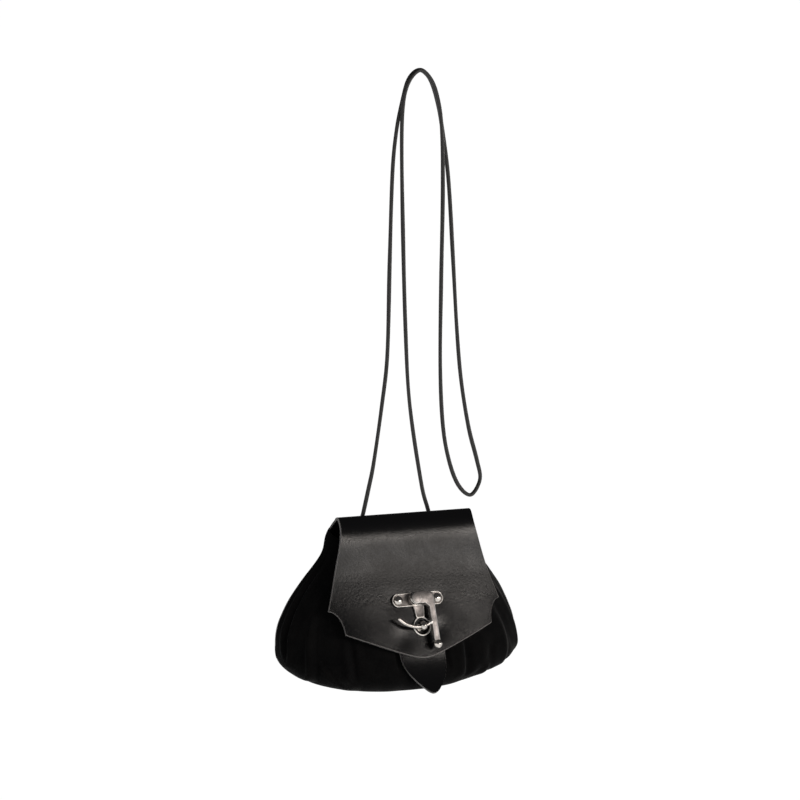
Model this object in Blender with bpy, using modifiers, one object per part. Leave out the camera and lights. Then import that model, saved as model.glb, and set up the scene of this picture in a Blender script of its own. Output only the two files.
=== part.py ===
"""A small leather bag that hangs by its cord: one leather piece makes the back and the flap,
a gathered suede pouch is sewn to it, and a swing clasp shuts the flap over a stud on a tongue.

Metres, +Z up, the front faces -Y. The origin is the point under the cord's highest bend."""
import math

import bmesh
import bpy
from mathutils import Matrix, Vector

MM = 0.001

# Where the bag hangs: the middle of the fold's top edge, seen from the origin
BAG_X = -13.2 * MM
BAG_Y = 2.0 * MM
BAG_DROP = 355.0 * MM

# Sheet thicknesses and clearances
LEATHER = 2.2 * MM
SUEDE = 1.6 * MM
TONGUE_LEATHER = 2.0 * MM
GAP = 0.3 * MM
RIVET_BACK_HEIGHT = 0.7 * MM
CLOTH_GAP = RIVET_BACK_HEIGHT + 2 * GAP
HOLE_GAP = 0.5 * MM
CUTTER_REACH = 6.0 * MM

# Flap: a fold over the top, then a sheet that leans forward over the pouch
FOLD_RADIUS = 4.5 * MM
FOLD_TURN = 27.0
FLAP_SLOPE = 0.333
BEND_DROP = 50.0 * MM
FLAP_DROP = 113.0 * MM
FLAP_REACH = 37.3 * MM
FLAP_SIDE_DROP = 72.3 * MM
FLAP_HALF = 78.0 * MM
FLAT_HALF = 32.0 * MM
EDGE_CURL = 4.5 * MM
NOTCH_WIDTH = 11.5 * MM
NOTCH_HEIGHT = 18.7 * MM
TIP_ROUNDING = 10.0 * MM

# How much of a row of the flap each corner notch takes, counted from the middle
NOTCH_SHARE = 0.8

# Back panel and pouch. The bottom corners are as full as the roundness says, where a circle has 2,
# and the right half of the bottom hangs a little higher, by a share of its fall
SEAM_ROUNDNESS = 2.5
RIGHT_RISE = 0.09
LEFT_SHOULDER = 0.065
SHOULDER_DROP = 13.0 * MM
SHOULDER_REACH = 11.0 * MM
POUCH_HALF = 108.8 * MM
SEAM_SIDE_DROP = 104.0 * MM
SEAM_DROP = 139.5 * MM
PANEL_INSET = 0.5 * MM
PANEL_SETBACK = 16.5 * MM
POUCH_DEPTH = 50.0 * MM
FOLD_LIFT = 3.6 * MM

# The suede stops this far round and below the flap and the tongue before it may stand forward again
COVER_MARGIN = 3.0 * MM
COVER_SLOPE = 2.0

POUCH_COLUMNS = 46
POUCH_DOWN = 19
TRIMMER_MARGIN = 20.0 * MM
TRIMMER_ROWS = 64

# Tongue below the flap, whose top starts below the rivets
TONGUE_DROP = 140.0 * MM
TONGUE_HALF = 20.5 * MM
TONGUE_KICK = 4.3 * MM
TONGUE_LEAN = 3.0 * MM
TONGUE_CURL = 1.0 * MM

# Clasp, measured along the flap from the line through its two rivets
RIVET_DROP = 67.8 * MM
RIVET_X = 17.6 * MM
RIVET_HEAD_RADIUS = 3.9 * MM
RIVET_HEAD_HEIGHT = 1.9 * MM
RIVET_SHANK_RADIUS = 1.5 * MM
RIVET_BACK_RADIUS = 3.5 * MM
RIVET_BELOW = 4.7 * MM
TONGUE_TOP_DROP = RIVET_DROP + RIVET_BACK_RADIUS + RIVET_BELOW
PLATE_THICKNESS = 1.7 * MM
EAR_RADIUS = 5.4 * MM
NECK_TOP_HALF = 4.9 * MM
NECK_FOOT_HALF = 3.5 * MM
RING_BELOW = 22.6 * MM
RING_RADIUS = 7.9 * MM
RING_BAND = 1.4 * MM
PIVOT_X = -4.8 * MM
PIVOT_RADIUS = 1.7 * MM
PIVOT_HEAD_RADIUS = 4.3 * MM
PIVOT_HEAD_HEIGHT = 0.9 * MM
PIVOT_HEAD_BEVEL = 0.45 * MM
HUB_RADIUS = 4.9 * MM
HUB_HEIGHT = 6.4 * MM
ARM_X = 9.3 * MM
ARM_WIDTH = 5.4 * MM
ARM_THICKNESS = 3.4 * MM
ARM_FOOT_BELOW = 35.2 * MM
BAR_ABOVE = 5.0 * MM
BAR_BELOW = 4.2 * MM
CORNER_CUT = 3.4 * MM
CORNER_ROUND = 4.0 * MM
BALL_RADIUS = 3.8 * MM
HORN_RADIUS = 1.35 * MM
HORN_TIP_TURN = 50.0
HORN_HOLE_TURN = 18.0
ARM_SETBACK = 0.3 * MM
STUB_HEIGHT = 5.0 * MM
STUB_SUNK = 1.6 * MM
STUB_SHOWN = 0.5 * MM
STUD_BALL_RADIUS = 3.5 * MM
STUD_NECK_RADIUS = 1.7 * MM
STUD_BASE_RADIUS = 4.4 * MM
STUD_BASE_HEIGHT = 0.9 * MM

# Belt loop on the back
LOOP_WIDTH = 32.0 * MM
LOOP_TOP_DROP = 36.0 * MM
LOOP_HEIGHT = 86.0 * MM
LOOP_TAB = 11.0 * MM
LOOP_ROOM = 6.5 * MM
LOOP_RAMP = 10.0 * MM

# Cord
CORD_DIAMETER = 3.3 * MM
CORD_HOLES_X = (-32.4 * MM, 30.0 * MM)
CORD_HOLE_DROP = 12.5 * MM
CORD_ABOVE_DROP = 5.0 * MM
CORD_CLEAR = 6.2 * MM
KNOT_RADIUS = 3.0 * MM
KNOT_DROP = 17.2 * MM
KNOT_CLEAR = 0.4 * MM
CORD_POINTS = 80
CORD_BEND_WEIGHT = 40.0 * MM

# The flap's half width: drop is a share of FLAP_SIDE_DROP, half of FLAP_HALF
FLAP_WIDTHS = (
    (0.00, 0.776),
    (0.14, 0.780),
    (0.33, 0.814),
    (0.54, 0.866),
    (0.76, 0.925),
    (0.90, 0.968),
    (1.00, 1.000),
)

# The flap from the end of its fold to its bend: drop is a share of the way down, out of the way forward
FLAP_LINE = (
    (0.00, 0.000),
    (0.064, 0.109),
    (0.117, 0.186),
    (0.20, 0.280),
    (0.33, 0.387),
    (0.54, 0.525),
    (0.75, 0.700),
    (1.00, 1.000),
)

# The back's half width: drop is a share of SEAM_SIDE_DROP, half of POUCH_HALF
BACK_WIDTHS = (
    (0.00, 0.545),
    (0.11, 0.566),
    (0.20, 0.594),
    (0.29, 0.631),
    (0.38, 0.694),
    (0.46, 0.761),
    (0.55, 0.829),
    (0.64, 0.892),
    (0.73, 0.940),
    (0.82, 0.980),
    (0.91, 0.998),
    (1.00, 1.000),
)

# The back panel's outer face behind the fold's middle: drop is a share of SEAM_DROP, back of PANEL_SETBACK
BACK_LINE = (
    (0.0176, 0.243),
    (0.045, 0.37),
    (0.09, 0.53),
    (0.14, 0.66),
    (0.29, 0.87),
    (0.50, 0.98),
    (1.00, 1.00),
)

# The pouch from its mouth round the belly to the bottom seam, in the middle and at its side seam:
# middle is a share of SEAM_DROP, side of SEAM_SIDE_DROP, out of POUCH_DEPTH
POUCH_ROWS = (
    # middle, side, out
    (0.172, 0.09, 0.24),
    (0.27, 0.22, 0.395),
    (0.38, 0.37, 0.54),
    (0.49, 0.51, 0.63),
    (0.60, 0.63, 0.725),
    (0.70, 0.74, 0.82),
    (0.79, 0.83, 0.91),
    (0.87, 0.89, 0.98),
    (0.93, 0.93, 1.00),
    (0.97, 0.955, 0.955),
    (1.002, 0.97, 0.84),
    (1.018, 0.98, 0.63),
    (1.020, 0.99, 0.36),
    (1.012, 0.995, 0.13),
    (1.000, 1.00, 0.00),
)

# The pouch's folds: place across at the mouth and at the foot from -1 to 1, height as a share of
# FOLD_LIFT, width as a share of the half turn, and where down the pouch each begins and ends
POUCH_FOLDS = (
    # mouth, foot, lift, width, begins, ends
    (-0.80, -0.80, 0.80, 0.070, 0.02, 0.97),
    (-0.58, -0.62, 1.00, 0.080, 0.10, 0.97),
    (-0.40, -0.28, 0.90, 0.065, 0.42, 0.98),
    (-0.16, -0.10, 0.40, 0.070, 0.50, 0.96),
    (0.14, 0.12, 0.40, 0.070, 0.50, 0.96),
    (0.34, 0.30, 0.90, 0.065, 0.40, 0.97),
    (0.56, 0.46, 0.70, 0.070, 0.30, 0.97),
    (0.70, 0.78, 0.80, 0.080, 0.05, 0.97),
)

# The tongue's half width: drop is a share of the way from its top to its tip, half of TONGUE_HALF
TONGUE_WIDTHS = (
    (0.00, 0.86),
    (0.10, 0.97),
    (0.45, 1.00),
    (0.64, 0.95),
    (0.74, 0.84),
    (0.82, 0.69),
    (0.90, 0.48),
    (0.96, 0.27),
)

# Where the cord runs from the left hole over its support twice and back to the right hole,
# chosen along the strands, in millimetres from the origin
CORD_ROUTE = (
    (-44.6, 12.6, -354.5), (-40.3, 11.2, -334.0), (-36.8, 9.6, -315.0), (-29.6, 8.3, -266.0),
    (-25.4, 7.3, -227.5), (-23.7, 6.2, -150.0), (-21.6, 5.2, -78.0), (-18.6, 4.1, -46.0),
    (-14.4, 3.1, -25.0), (-8.6, 2.2, -5.8), (0.6, 2.0, 1.65), (10.2, 2.2, -5.0),
    (18.0, 2.4, -25.7), (23.1, 2.9, -50.0), (28.4, 3.3, -87.0), (33.0, 3.8, -151.0),
    (37.0, 4.2, -210.0), (41.2, 4.7, -250.0), (48.6, 5.1, -289.5), (56.6, 5.6, -316.5),
    (59.4, 5.4, -332.5), (50.3, 4.2, -344.5), (38.8, 3.0, -337.0), (29.4, 1.8, -318.0),
    (22.6, 1.1, -288.0), (19.6, 0.6, -239.0), (20.0, 0.1, -170.0), (21.2, -0.4, -93.0),
    (19.6, -0.9, -41.5), (15.0, -1.5, -18.0), (8.6, -2.0, -4.8), (-0.6, -2.2, 1.65),
    (-9.6, -1.9, -6.0), (-14.4, -0.2, -22.0), (-15.3, 1.5, -54.0), (-13.2, 3.2, -131.0),
    (-9.9, 5.0, -208.5), (-5.1, 7.0, -267.5), (8.0, 10.8, -335.0), (14.6, 12.6, -354.5),
)


def hermite(share, start, end, start_slope, end_slope, length):
    """A cubic from start to end whose slopes at both ends are given."""
    squared = share * share
    cubed = squared * share
    return (start * (2 * cubed - 3 * squared + 1) + end * (3 * squared - 2 * cubed)
            + length * start_slope * (cubed - 2 * squared + share)
            + length * end_slope * (cubed - squared))


def along(table, share, column=1):
    """The value of a table's column at a share, on a smooth curve through its rows."""
    share = min(max(share, table[0][0]), table[-1][0])
    for index in range(len(table) - 1):
        low, high = table[index], table[index + 1]
        if share <= high[0]:
            before = table[max(index - 1, 0)]
            after = table[min(index + 2, len(table) - 1)]
            width = high[0] - low[0]
            slope_in = (high[column] - before[column]) / (high[0] - before[0])
            slope_out = (after[column] - low[column]) / (after[0] - low[0])
            place = (share - low[0]) / width
            return hermite(place, low[column], high[column], slope_in, slope_out, width)
    return table[-1][column]


def smooth(value, low, high):
    """0 below low, 1 above high, and an S curve between them."""
    share = min(max((value - low) / (high - low), 0.0), 1.0)
    return share * share * (3 - 2 * share)


def at(x, y, drop):
    """A place given from the middle of the fold's top edge, in the part's frame."""
    return Vector((BAG_X + x, BAG_Y + y, -BAG_DROP - drop))


def fold_point(turn):
    """The Y and the drop of the fold's round part: turn is 0 in front, 90 at the top, 180 behind."""
    angle = math.radians(turn)
    return -FOLD_RADIUS * math.cos(angle), FOLD_RADIUS * (1 - math.sin(angle))


def flap_out(drop):
    """How far the flap's outer face stands in front of the fold's middle."""
    if drop >= BEND_DROP:
        return FLAP_REACH - FLAP_SLOPE * (FLAP_DROP - drop)
    bend_out = FLAP_REACH - FLAP_SLOPE * (FLAP_DROP - BEND_DROP)
    start_y, start_drop = fold_point(FOLD_TURN)
    share = max(drop - start_drop, 0.0) / (BEND_DROP - start_drop)
    return -start_y + (bend_out + start_y) * along(FLAP_LINE, share)


def flap_face(x, drop):
    """The Y of the flap's outer face, whose sides curl back a little."""
    side = max(0.0, abs(x) - FLAT_HALF) / (FLAP_HALF - FLAT_HALF)
    curl = EDGE_CURL * side * side * smooth(drop, 0.0, FLAP_SIDE_DROP)
    return curl - flap_out(drop)


def flap_half(drop):
    return FLAP_HALF * along(FLAP_WIDTHS, drop / FLAP_SIDE_DROP)


def back_half(drop):
    return POUCH_HALF * along(BACK_WIDTHS, drop / SEAM_SIDE_DROP)


def back_face(drop):
    """The Y of the back panel's outer face."""
    return PANEL_SETBACK * along(BACK_LINE, drop / SEAM_DROP)


def panel_inner(drop):
    """The Y of the back panel's inner face, whose wall is measured square to it."""
    slope = (back_face(drop + MM) - back_face(drop - MM)) / (2 * MM)
    return back_face(drop) - LEATHER * math.hypot(1, slope)


def seam_face(drop):
    """The Y where the pouch's edge ends before it is trimmed: just inside the back panel."""
    return back_face(drop) - LEATHER


def flap_lower_edge(share):
    """The flap's lower edge: a blunt V, then a hollow quarter round at each corner."""
    side = math.copysign(1.0, share)
    corner = FLAP_HALF - NOTCH_WIDTH
    corner_drop = FLAP_SIDE_DROP + NOTCH_HEIGHT
    if abs(share) > NOTCH_SHARE:
        turn = math.pi / 2 * (abs(share) - NOTCH_SHARE) / (1 - NOTCH_SHARE)
        x = FLAP_HALF - NOTCH_WIDTH * math.cos(turn)
        return side * x, corner_drop - NOTCH_HEIGHT * math.sin(turn)
    x = corner * abs(share) / NOTCH_SHARE
    fall = (FLAP_DROP - corner_drop) / (math.hypot(corner, TIP_ROUNDING) - TIP_ROUNDING)
    return side * x, FLAP_DROP - fall * (math.hypot(x, TIP_ROUNDING) - TIP_ROUNDING)


def rounded_row(turn, half, side_drop, middle_drop):
    """A row that hangs as a U between the side seams: turn runs from -1 to 1."""
    angle = abs(turn) * math.pi / 2
    x = half * math.sin(angle) ** (2 / SEAM_ROUNDNESS)
    fall = max(math.cos(angle), 0.0) ** (2 / SEAM_ROUNDNESS)
    fall *= 1 - RIGHT_RISE * smooth(turn, 0.0, 0.35) * (1 - smooth(turn, 0.5, 0.8))
    drop = side_drop + (middle_drop - side_drop) * fall
    shoulder = math.exp(-((drop - SHOULDER_DROP) / SHOULDER_REACH) ** 2)
    x *= 1 + LEFT_SHOULDER * shoulder * smooth(-turn, 0.0, 0.8)
    return math.copysign(x, turn), drop


def pouch_surface(turn, place):
    """A point of the pouch's outer face: turn from -1 to 1 across, place from 0 to 1 down."""
    rows = [(index / (len(POUCH_ROWS) - 1), *row) for index, row in enumerate(POUCH_ROWS)]
    middle = SEAM_DROP * along(rows, place, 1)
    side = SEAM_SIDE_DROP * along(rows, place, 2)
    out = POUCH_DEPTH * max(along(rows, place, 3), 0.0)
    x, drop = rounded_row(turn, back_half(side), side, middle)
    angle = turn * math.pi / 2
    lift = 0.0
    for mouth, foot, height, width, begins, ends in POUCH_FOLDS:
        across = (turn - mouth - (foot - mouth) * place) / width
        reach = smooth(place, begins, begins + 0.2) * (1 - smooth(place, ends - 0.25, ends))
        ridge = math.exp(-4 * across * across) - 0.7 * math.exp(-6 * (across - 0.8) ** 2)
        lift += FOLD_LIFT * height * reach * ridge
    x += lift * math.sin(angle)
    out = out * math.cos(angle) + lift * math.cos(angle) ** 2
    y = seam_face(drop) - out
    return x, max(y, cover_face(x, drop)), drop


def cover_face(x, drop):
    """The farthest forward that the suede may stand under the flap and the tongue."""
    behind = (LEATHER + CLOTH_GAP) * math.hypot(1, FLAP_SLOPE)
    beyond = max(abs(x) - flap_half(min(drop, FLAP_SIDE_DROP)), drop - flap_rim(x), 0.0)
    limit = flap_face(x, drop) + behind
    limit -= COVER_SLOPE * max(beyond - COVER_MARGIN, 0.0)
    if drop > TONGUE_TOP_DROP - 2 * COVER_MARGIN:
        beside = max(abs(x - tongue_shift(drop)) - TONGUE_HALF - COVER_MARGIN, 0.0)
        thick = TONGUE_LEATHER * math.hypot(1, FLAP_SLOPE + 0.3) + CLOTH_GAP
        limit = max(limit, tongue_face(x, drop) + thick - COVER_SLOPE * beside)
    return limit


def flap_rim(x):
    """How far down the flap reaches at a place across."""
    corner = FLAP_HALF - NOTCH_WIDTH
    if abs(x) < corner:
        return flap_lower_edge(NOTCH_SHARE * x / corner)[1]
    return FLAP_SIDE_DROP


def tongue_shift(drop):
    """The tongue leans a little to one side towards its tip."""
    return TONGUE_LEAN * smooth(drop, FLAP_DROP - TONGUE_LEAN, TONGUE_DROP)


def tongue_face(x, drop):
    """The Y of the tongue's outer face: behind the flap, then standing forward below it."""
    behind = (LEATHER + GAP) * math.hypot(1, FLAP_SLOPE)
    below = max(drop - FLAP_DROP, 0.0) / (TONGUE_DROP - FLAP_DROP)
    edge = abs(x - tongue_shift(drop)) / TONGUE_HALF
    return -flap_out(drop) + behind - TONGUE_KICK * below * below + TONGUE_CURL * edge ** 3


def new_material(name, color, roughness, metallic=0.0):
    material = bpy.data.materials.new(name)
    material.use_nodes = True
    shader = material.node_tree.nodes["Principled BSDF"]
    shader.inputs["Base Color"].default_value = (*color, 1)
    shader.inputs["Roughness"].default_value = roughness
    shader.inputs["Metallic"].default_value = metallic
    material.diffuse_color = (*color, 1)
    return material


def place_object(name, mesh, collection, material=None):
    thing = bpy.data.objects.new(name, mesh)
    collection.objects.link(thing)
    if material:
        mesh.materials.append(material)
    return thing


def sheet_mesh(name, rows):
    """A sheet of quads through rows of points, each row with as many points as the others."""
    mesh = bpy.data.meshes.new(name)
    count = len(rows[0])
    points = [point for row in rows for point in row]
    faces = []
    for row in range(len(rows) - 1):
        for column in range(count - 1):
            corner = row * count + column
            faces.append((corner, corner + 1, corner + count + 1, corner + count))
    mesh.from_pydata(points, [], faces)
    return mesh


def thicken(thing, thickness, even=True):
    """Gives a sheet its wall, on the side away from its faces."""
    wall = thing.modifiers.new("Wall", "SOLIDIFY")
    wall.thickness = thickness
    wall.offset = -1
    wall.use_even_offset = even
    wall.use_rim = True


def cut(thing, cutter):
    hole = thing.modifiers.new("Cut " + cutter.name, "BOOLEAN")
    hole.operation = "DIFFERENCE"
    hole.solver = "EXACT"
    hole.object = cutter


def join(thing, other):
    union = thing.modifiers.new("Join " + other.name, "BOOLEAN")
    union.operation = "UNION"
    union.solver = "EXACT"
    union.object = other


def hide_guide(thing):
    thing.hide_render = True
    thing.display_type = "WIRE"
    return thing


def rod(name, collection, start, end, radius, sides=24):
    """A plain round rod between two points."""
    mesh = bpy.data.meshes.new(name)
    shape = bmesh.new()
    direction = end - start
    turn = direction.to_track_quat("Z", "Y").to_matrix().to_4x4()
    matrix = Matrix.Translation((start + end) / 2) @ turn
    bmesh.ops.create_cone(shape, cap_ends=True, segments=sides, radius1=radius, radius2=radius,
                          depth=direction.length, matrix=matrix)
    shape.to_mesh(mesh)
    shape.free()
    return place_object(name, mesh, collection)


def ball(name, collection, centre, radius, sides=20, rings=12):
    mesh = bpy.data.meshes.new(name)
    shape = bmesh.new()
    bmesh.ops.create_uvsphere(shape, u_segments=sides, v_segments=rings, radius=radius,
                              matrix=Matrix.Translation(centre))
    shape.to_mesh(mesh)
    shape.free()
    return place_object(name, mesh, collection)


def curve_to_mesh_object(thing, collection):
    """Replaces a curve object with a welded mesh object of the same name."""
    name = thing.name
    graph = bpy.context.evaluated_depsgraph_get()
    mesh = bpy.data.meshes.new_from_object(thing.evaluated_get(graph))
    matrix = thing.matrix_world.copy()
    bpy.data.objects.remove(thing)
    shape = bmesh.new()
    shape.from_mesh(mesh)
    bmesh.ops.remove_doubles(shape, verts=shape.verts, dist=0.00001)
    shape.to_mesh(mesh)
    shape.free()
    solid = place_object(name, mesh, collection)
    solid.matrix_world = matrix
    return solid


def flat_solid(name, collection, outlines, low, high, matrix):
    """A flat outline, the first of the list, with the others as holes, between two heights."""
    curve = bpy.data.curves.new(name, "CURVE")
    curve.dimensions = "2D"
    curve.fill_mode = "BOTH"
    curve.extrude = (high - low) / 2
    for outline in outlines:
        spline = curve.splines.new("POLY")
        spline.points.add(len(outline) - 1)
        spline.use_cyclic_u = True
        for point, (x, y) in zip(spline.points, outline):
            point.co = (x, y, 0, 1)
    thing = bpy.data.objects.new(name, curve)
    collection.objects.link(thing)
    thing.matrix_world = matrix @ Matrix.Translation((0, 0, (low + high) / 2))
    bpy.context.view_layer.update()
    return curve_to_mesh_object(thing, collection)


def arc(centre_x, centre_y, radius, start, end, steps):
    """Points of an arc between two angles in degrees."""
    points = []
    for step in range(steps + 1):
        angle = math.radians(start + (end - start) * step / steps)
        points.append((centre_x + radius * math.cos(angle), centre_y + radius * math.sin(angle)))
    return points


def tube(name, collection, points, radius, resolution, material=None):
    """A round tube with closed ends along a line of points."""
    curve = bpy.data.curves.new(name, "CURVE")
    curve.dimensions = "3D"
    curve.bevel_depth = radius
    curve.bevel_resolution = resolution
    curve.use_fill_caps = True
    spline = curve.splines.new("POLY")
    spline.points.add(len(points) - 1)
    for spline_point, point in zip(spline.points, points):
        spline_point.co = (*point, 1)
    thing = bpy.data.objects.new(name, curve)
    collection.objects.link(thing)
    if material:
        curve.materials.append(material)
    return thing


def turned(name, collection, profile, matrix, material, sides=24):
    """A solid turned round the local Z axis from a profile of (radius, height), top to bottom."""
    mesh = bpy.data.meshes.new(name)
    points = [(radius, 0, height) for radius, height in profile]
    edges = [(index, index + 1) for index in range(len(points) - 1)]
    mesh.from_pydata(points, edges, [])
    thing = place_object(name, mesh, collection, material)
    screw = thing.modifiers.new("Turn", "SCREW")
    screw.steps = sides
    screw.render_steps = sides
    screw.use_merge_vertices = True
    screw.merge_threshold = 0.00001
    thing.matrix_world = matrix
    return thing


def clasp_matrix():
    """The clasp's frame: X to the right, Y up along the flap, Z straight out of it."""
    tilt = math.atan(FLAP_SLOPE)
    right = Vector((1, 0, 0))
    up = Vector((0, math.sin(tilt), math.cos(tilt)))
    out = right.cross(up)
    origin = at(0, -flap_out(RIVET_DROP), RIVET_DROP)
    matrix = Matrix((right, up, out)).transposed().to_4x4()
    matrix.translation = origin
    return matrix


def make_flap_back(parts, cutters, clasp, material):
    """The flap, the fold over the top and the back panel, cut from one sheet of leather."""
    half_shares = [0.0, 0.09, 0.2, 0.32, 0.44, 0.56, 0.68, NOTCH_SHARE, 0.85, 0.90, 0.95, 1.0]
    shares = [-share for share in reversed(half_shares[1:])] + half_shares
    rows = []
    lift_steps = (1.0, 0.8, 0.6, 0.4, 0.2)
    for step in lift_steps:
        row = []
        for share in shares:
            edge_x, edge_drop = flap_lower_edge(share)
            top_x = share * flap_half(BEND_DROP)
            drop = BEND_DROP + (edge_drop - BEND_DROP) * step
            side_x = math.copysign(flap_half(min(drop, FLAP_SIDE_DROP)), share)
            x = top_x + (edge_x - top_x) * step
            if abs(share) == 1.0:
                x = side_x
            row.append(at(x, flap_face(x, drop), drop))
        rows.append(row)
    fold_drop = fold_point(FOLD_TURN)[1]
    for share_down in (1.0, 0.8, 0.6, 0.4, 0.2, 0.08):
        drop = fold_drop + (BEND_DROP - fold_drop) * share_down
        half = flap_half(drop)
        rows.append([at(share * half, flap_face(share * half, drop), drop) for share in shares])
    fold_steps = 6
    for step in range(fold_steps + 1):
        y, drop = fold_point(FOLD_TURN + (180 - 2 * FOLD_TURN) * step / fold_steps)
        half = flap_half(drop)
        rows.append([at(share * half, y, drop) for share in shares])
    back_rows = 12
    for step in range(1, back_rows + 1):
        place = (step / back_rows) ** 1.4
        side = fold_drop + (SEAM_SIDE_DROP - fold_drop) * place
        middle = fold_drop + (SEAM_DROP - PANEL_INSET - fold_drop) * place
        half = back_half(side) - PANEL_INSET
        row = []
        for share in shares:
            x, drop = rounded_row(share, half, side, middle)
            row.append(at(x, back_face(drop), drop))
        rows.append(row)
    mesh = sheet_mesh("flap_back", rows)
    flap = place_object("flap_back", mesh, parts, material)
    thicken(flap, LEATHER)
    ring = clasp @ Vector((0, -RING_BELOW, 0))
    out = clasp.to_3x3() @ Vector((0, 0, 1))
    hole_radius = RING_RADIUS - RING_BAND - HOLE_GAP
    reach = out * CUTTER_REACH
    cuts = [rod("stud_hole", cutters, ring - reach, ring + reach, hole_radius)]
    for side in (-1, 1):
        centre = clasp @ Vector((side * RIVET_X, 0, 0))
        radius = RIVET_SHANK_RADIUS + GAP
        cuts.append(rod("rivet_hole", cutters, centre - reach, centre + reach, radius, 12))
    for x in CORD_HOLES_X:
        centre = at(x, back_face(CORD_HOLE_DROP) - LEATHER / 2, CORD_HOLE_DROP)
        slant = (at(x, knot_y(), KNOT_DROP) - centre).normalized() * CUTTER_REACH
        radius = CORD_DIAMETER / 2 + HOLE_GAP
        cuts.append(rod("cord_hole", cutters, centre - slant, centre + slant, radius, 16))
    for cutter in cuts:
        cut(flap, hide_guide(cutter))
    return flap


def make_trimmer(cutters):
    """A thick sheet along the back panel's inner face, which trims what meets it."""
    rows = []
    for step in range(TRIMMER_ROWS + 1):
        drop = (SEAM_DROP + 2 * TRIMMER_MARGIN) * step / TRIMMER_ROWS - TRIMMER_MARGIN
        y = panel_inner(drop) - GAP
        half = POUCH_HALF + TRIMMER_MARGIN
        rows.append([at(-half, y, drop), at(half, y, drop)])
    mesh = sheet_mesh("trimmer", rows)
    mesh.flip_normals()
    trimmer = place_object("trimmer", mesh, cutters)
    thicken(trimmer, TRIMMER_MARGIN / 2)
    return hide_guide(trimmer)


def make_pouch(parts, cutters, material):
    """The gathered suede front, hollow and open at the top, sewn round to the back panel."""
    rows = []
    for row in range(POUCH_DOWN + 1):
        place = row / POUCH_DOWN
        line = []
        for column in range(POUCH_COLUMNS + 1):
            turn = -1 + 2 * column / POUCH_COLUMNS
            line.append(at(*pouch_surface(turn, place)))
        rows.append(line)
    mesh = sheet_mesh("suede_pouch", rows)
    mesh.flip_normals()
    pouch = place_object("suede_pouch", mesh, parts, material)
    thicken(pouch, SUEDE, even=False)
    cut(pouch, make_trimmer(cutters))
    return pouch


def make_tongue(parts, cutters, clasp, material):
    """The tab sewn to the pouch, which carries the stud and shows below the flap."""
    shares = [-1.0, -0.8, -0.5, -0.2, 0.0, 0.2, 0.5, 0.8, 1.0]
    length = TONGUE_DROP - TONGUE_TOP_DROP
    places = [0.0, 0.06, 0.2, 0.35, 0.5, 0.58, 0.64, 0.70, 0.76, 0.82, 0.87, 0.91, 0.945]
    rows = []
    for place in places:
        drop = TONGUE_TOP_DROP + length * place
        half = TONGUE_HALF * along(TONGUE_WIDTHS, place)
        row = []
        for share in shares:
            x = tongue_shift(drop) + share * half
            row.append(at(x, tongue_face(x, drop), drop))
        rows.append(row)
    tip = []
    tip_half = TONGUE_HALF * along(TONGUE_WIDTHS, places[-1])
    for share in shares:
        angle = share * math.pi / 2
        drop = TONGUE_TOP_DROP + length * (places[-1] + (1 - places[-1]) * math.cos(angle) * 0.98)
        x = tongue_shift(drop) + tip_half * math.sin(angle)
        tip.append(at(x, tongue_face(x, drop), drop))
    for index in (0, len(tip) - 1):
        drop = TONGUE_TOP_DROP + length * (places[-1] + 0.004)
        x = tongue_shift(drop) + shares[index] * tip_half * 0.99
        tip[index] = at(x, tongue_face(x, drop), drop)
    rows.append(tip)
    mesh = sheet_mesh("tongue", rows)
    mesh.flip_normals()
    tongue = place_object("tongue", mesh, parts, material)
    thicken(tongue, TONGUE_LEATHER)
    ring = clasp @ Vector((0, -RING_BELOW, 0))
    out = clasp.to_3x3() @ Vector((0, 0, 1))
    reach = out * CUTTER_REACH
    hole = rod("stud_foot_hole", cutters, ring - reach, ring + reach, STUD_NECK_RADIUS + GAP, 16)
    cut(tongue, hide_guide(hole))
    return tongue


def make_plate(parts, cutters, clasp, material):
    """The cast base of the clasp: two ears, a neck and an open ring."""
    ring_top = math.degrees(math.asin(NECK_FOOT_HALF / RING_RADIUS))
    outline = arc(-RIVET_X, 0, EAR_RADIUS, 90, 270, 12)
    outline.append((-NECK_TOP_HALF, -EAR_RADIUS))
    outline += arc(0, -RING_BELOW, RING_RADIUS, 90 + ring_top, 450 - ring_top, 28)
    outline.append((NECK_TOP_HALF, -EAR_RADIUS))
    outline += arc(RIVET_X, 0, EAR_RADIUS, -90, 90, 12)
    holes = [arc(0, -RING_BELOW, RING_RADIUS - RING_BAND, 0, 345, 23)]
    for side in (-1, 1):
        holes.append(arc(side * RIVET_X, 0, RIVET_SHANK_RADIUS + GAP, 0, 330, 11))
    holes.append(arc(PIVOT_X, 0, PIVOT_RADIUS + GAP, 0, 330, 11))
    plate = flat_solid("clasp_plate", parts, [outline] + holes, GAP, GAP + PLATE_THICKNESS, clasp)
    plate.data.materials.append(material)
    return plate


def make_rivet(name, parts, clasp, side, material):
    """A domed rivet through an ear and the flap, with a flat head behind."""
    top = GAP + PLATE_THICKNESS + GAP
    back = -LEATHER - GAP
    profile = [(0, top + RIVET_HEAD_HEIGHT)]
    for step in range(1, 5):
        angle = math.radians(90 - 22.5 * step)
        profile.append((RIVET_HEAD_RADIUS * math.cos(angle),
                        top + RIVET_HEAD_HEIGHT * math.sin(angle)))
    profile += [(RIVET_SHANK_RADIUS, top), (RIVET_SHANK_RADIUS, back)]
    profile += [(RIVET_BACK_RADIUS, back), (RIVET_BACK_RADIUS, back - RIVET_BACK_HEIGHT)]
    profile.append((0, back - RIVET_BACK_HEIGHT))
    matrix = clasp @ Matrix.Translation((side * RIVET_X, 0, 0))
    return turned(name, parts, profile, matrix, material, 20)


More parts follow.
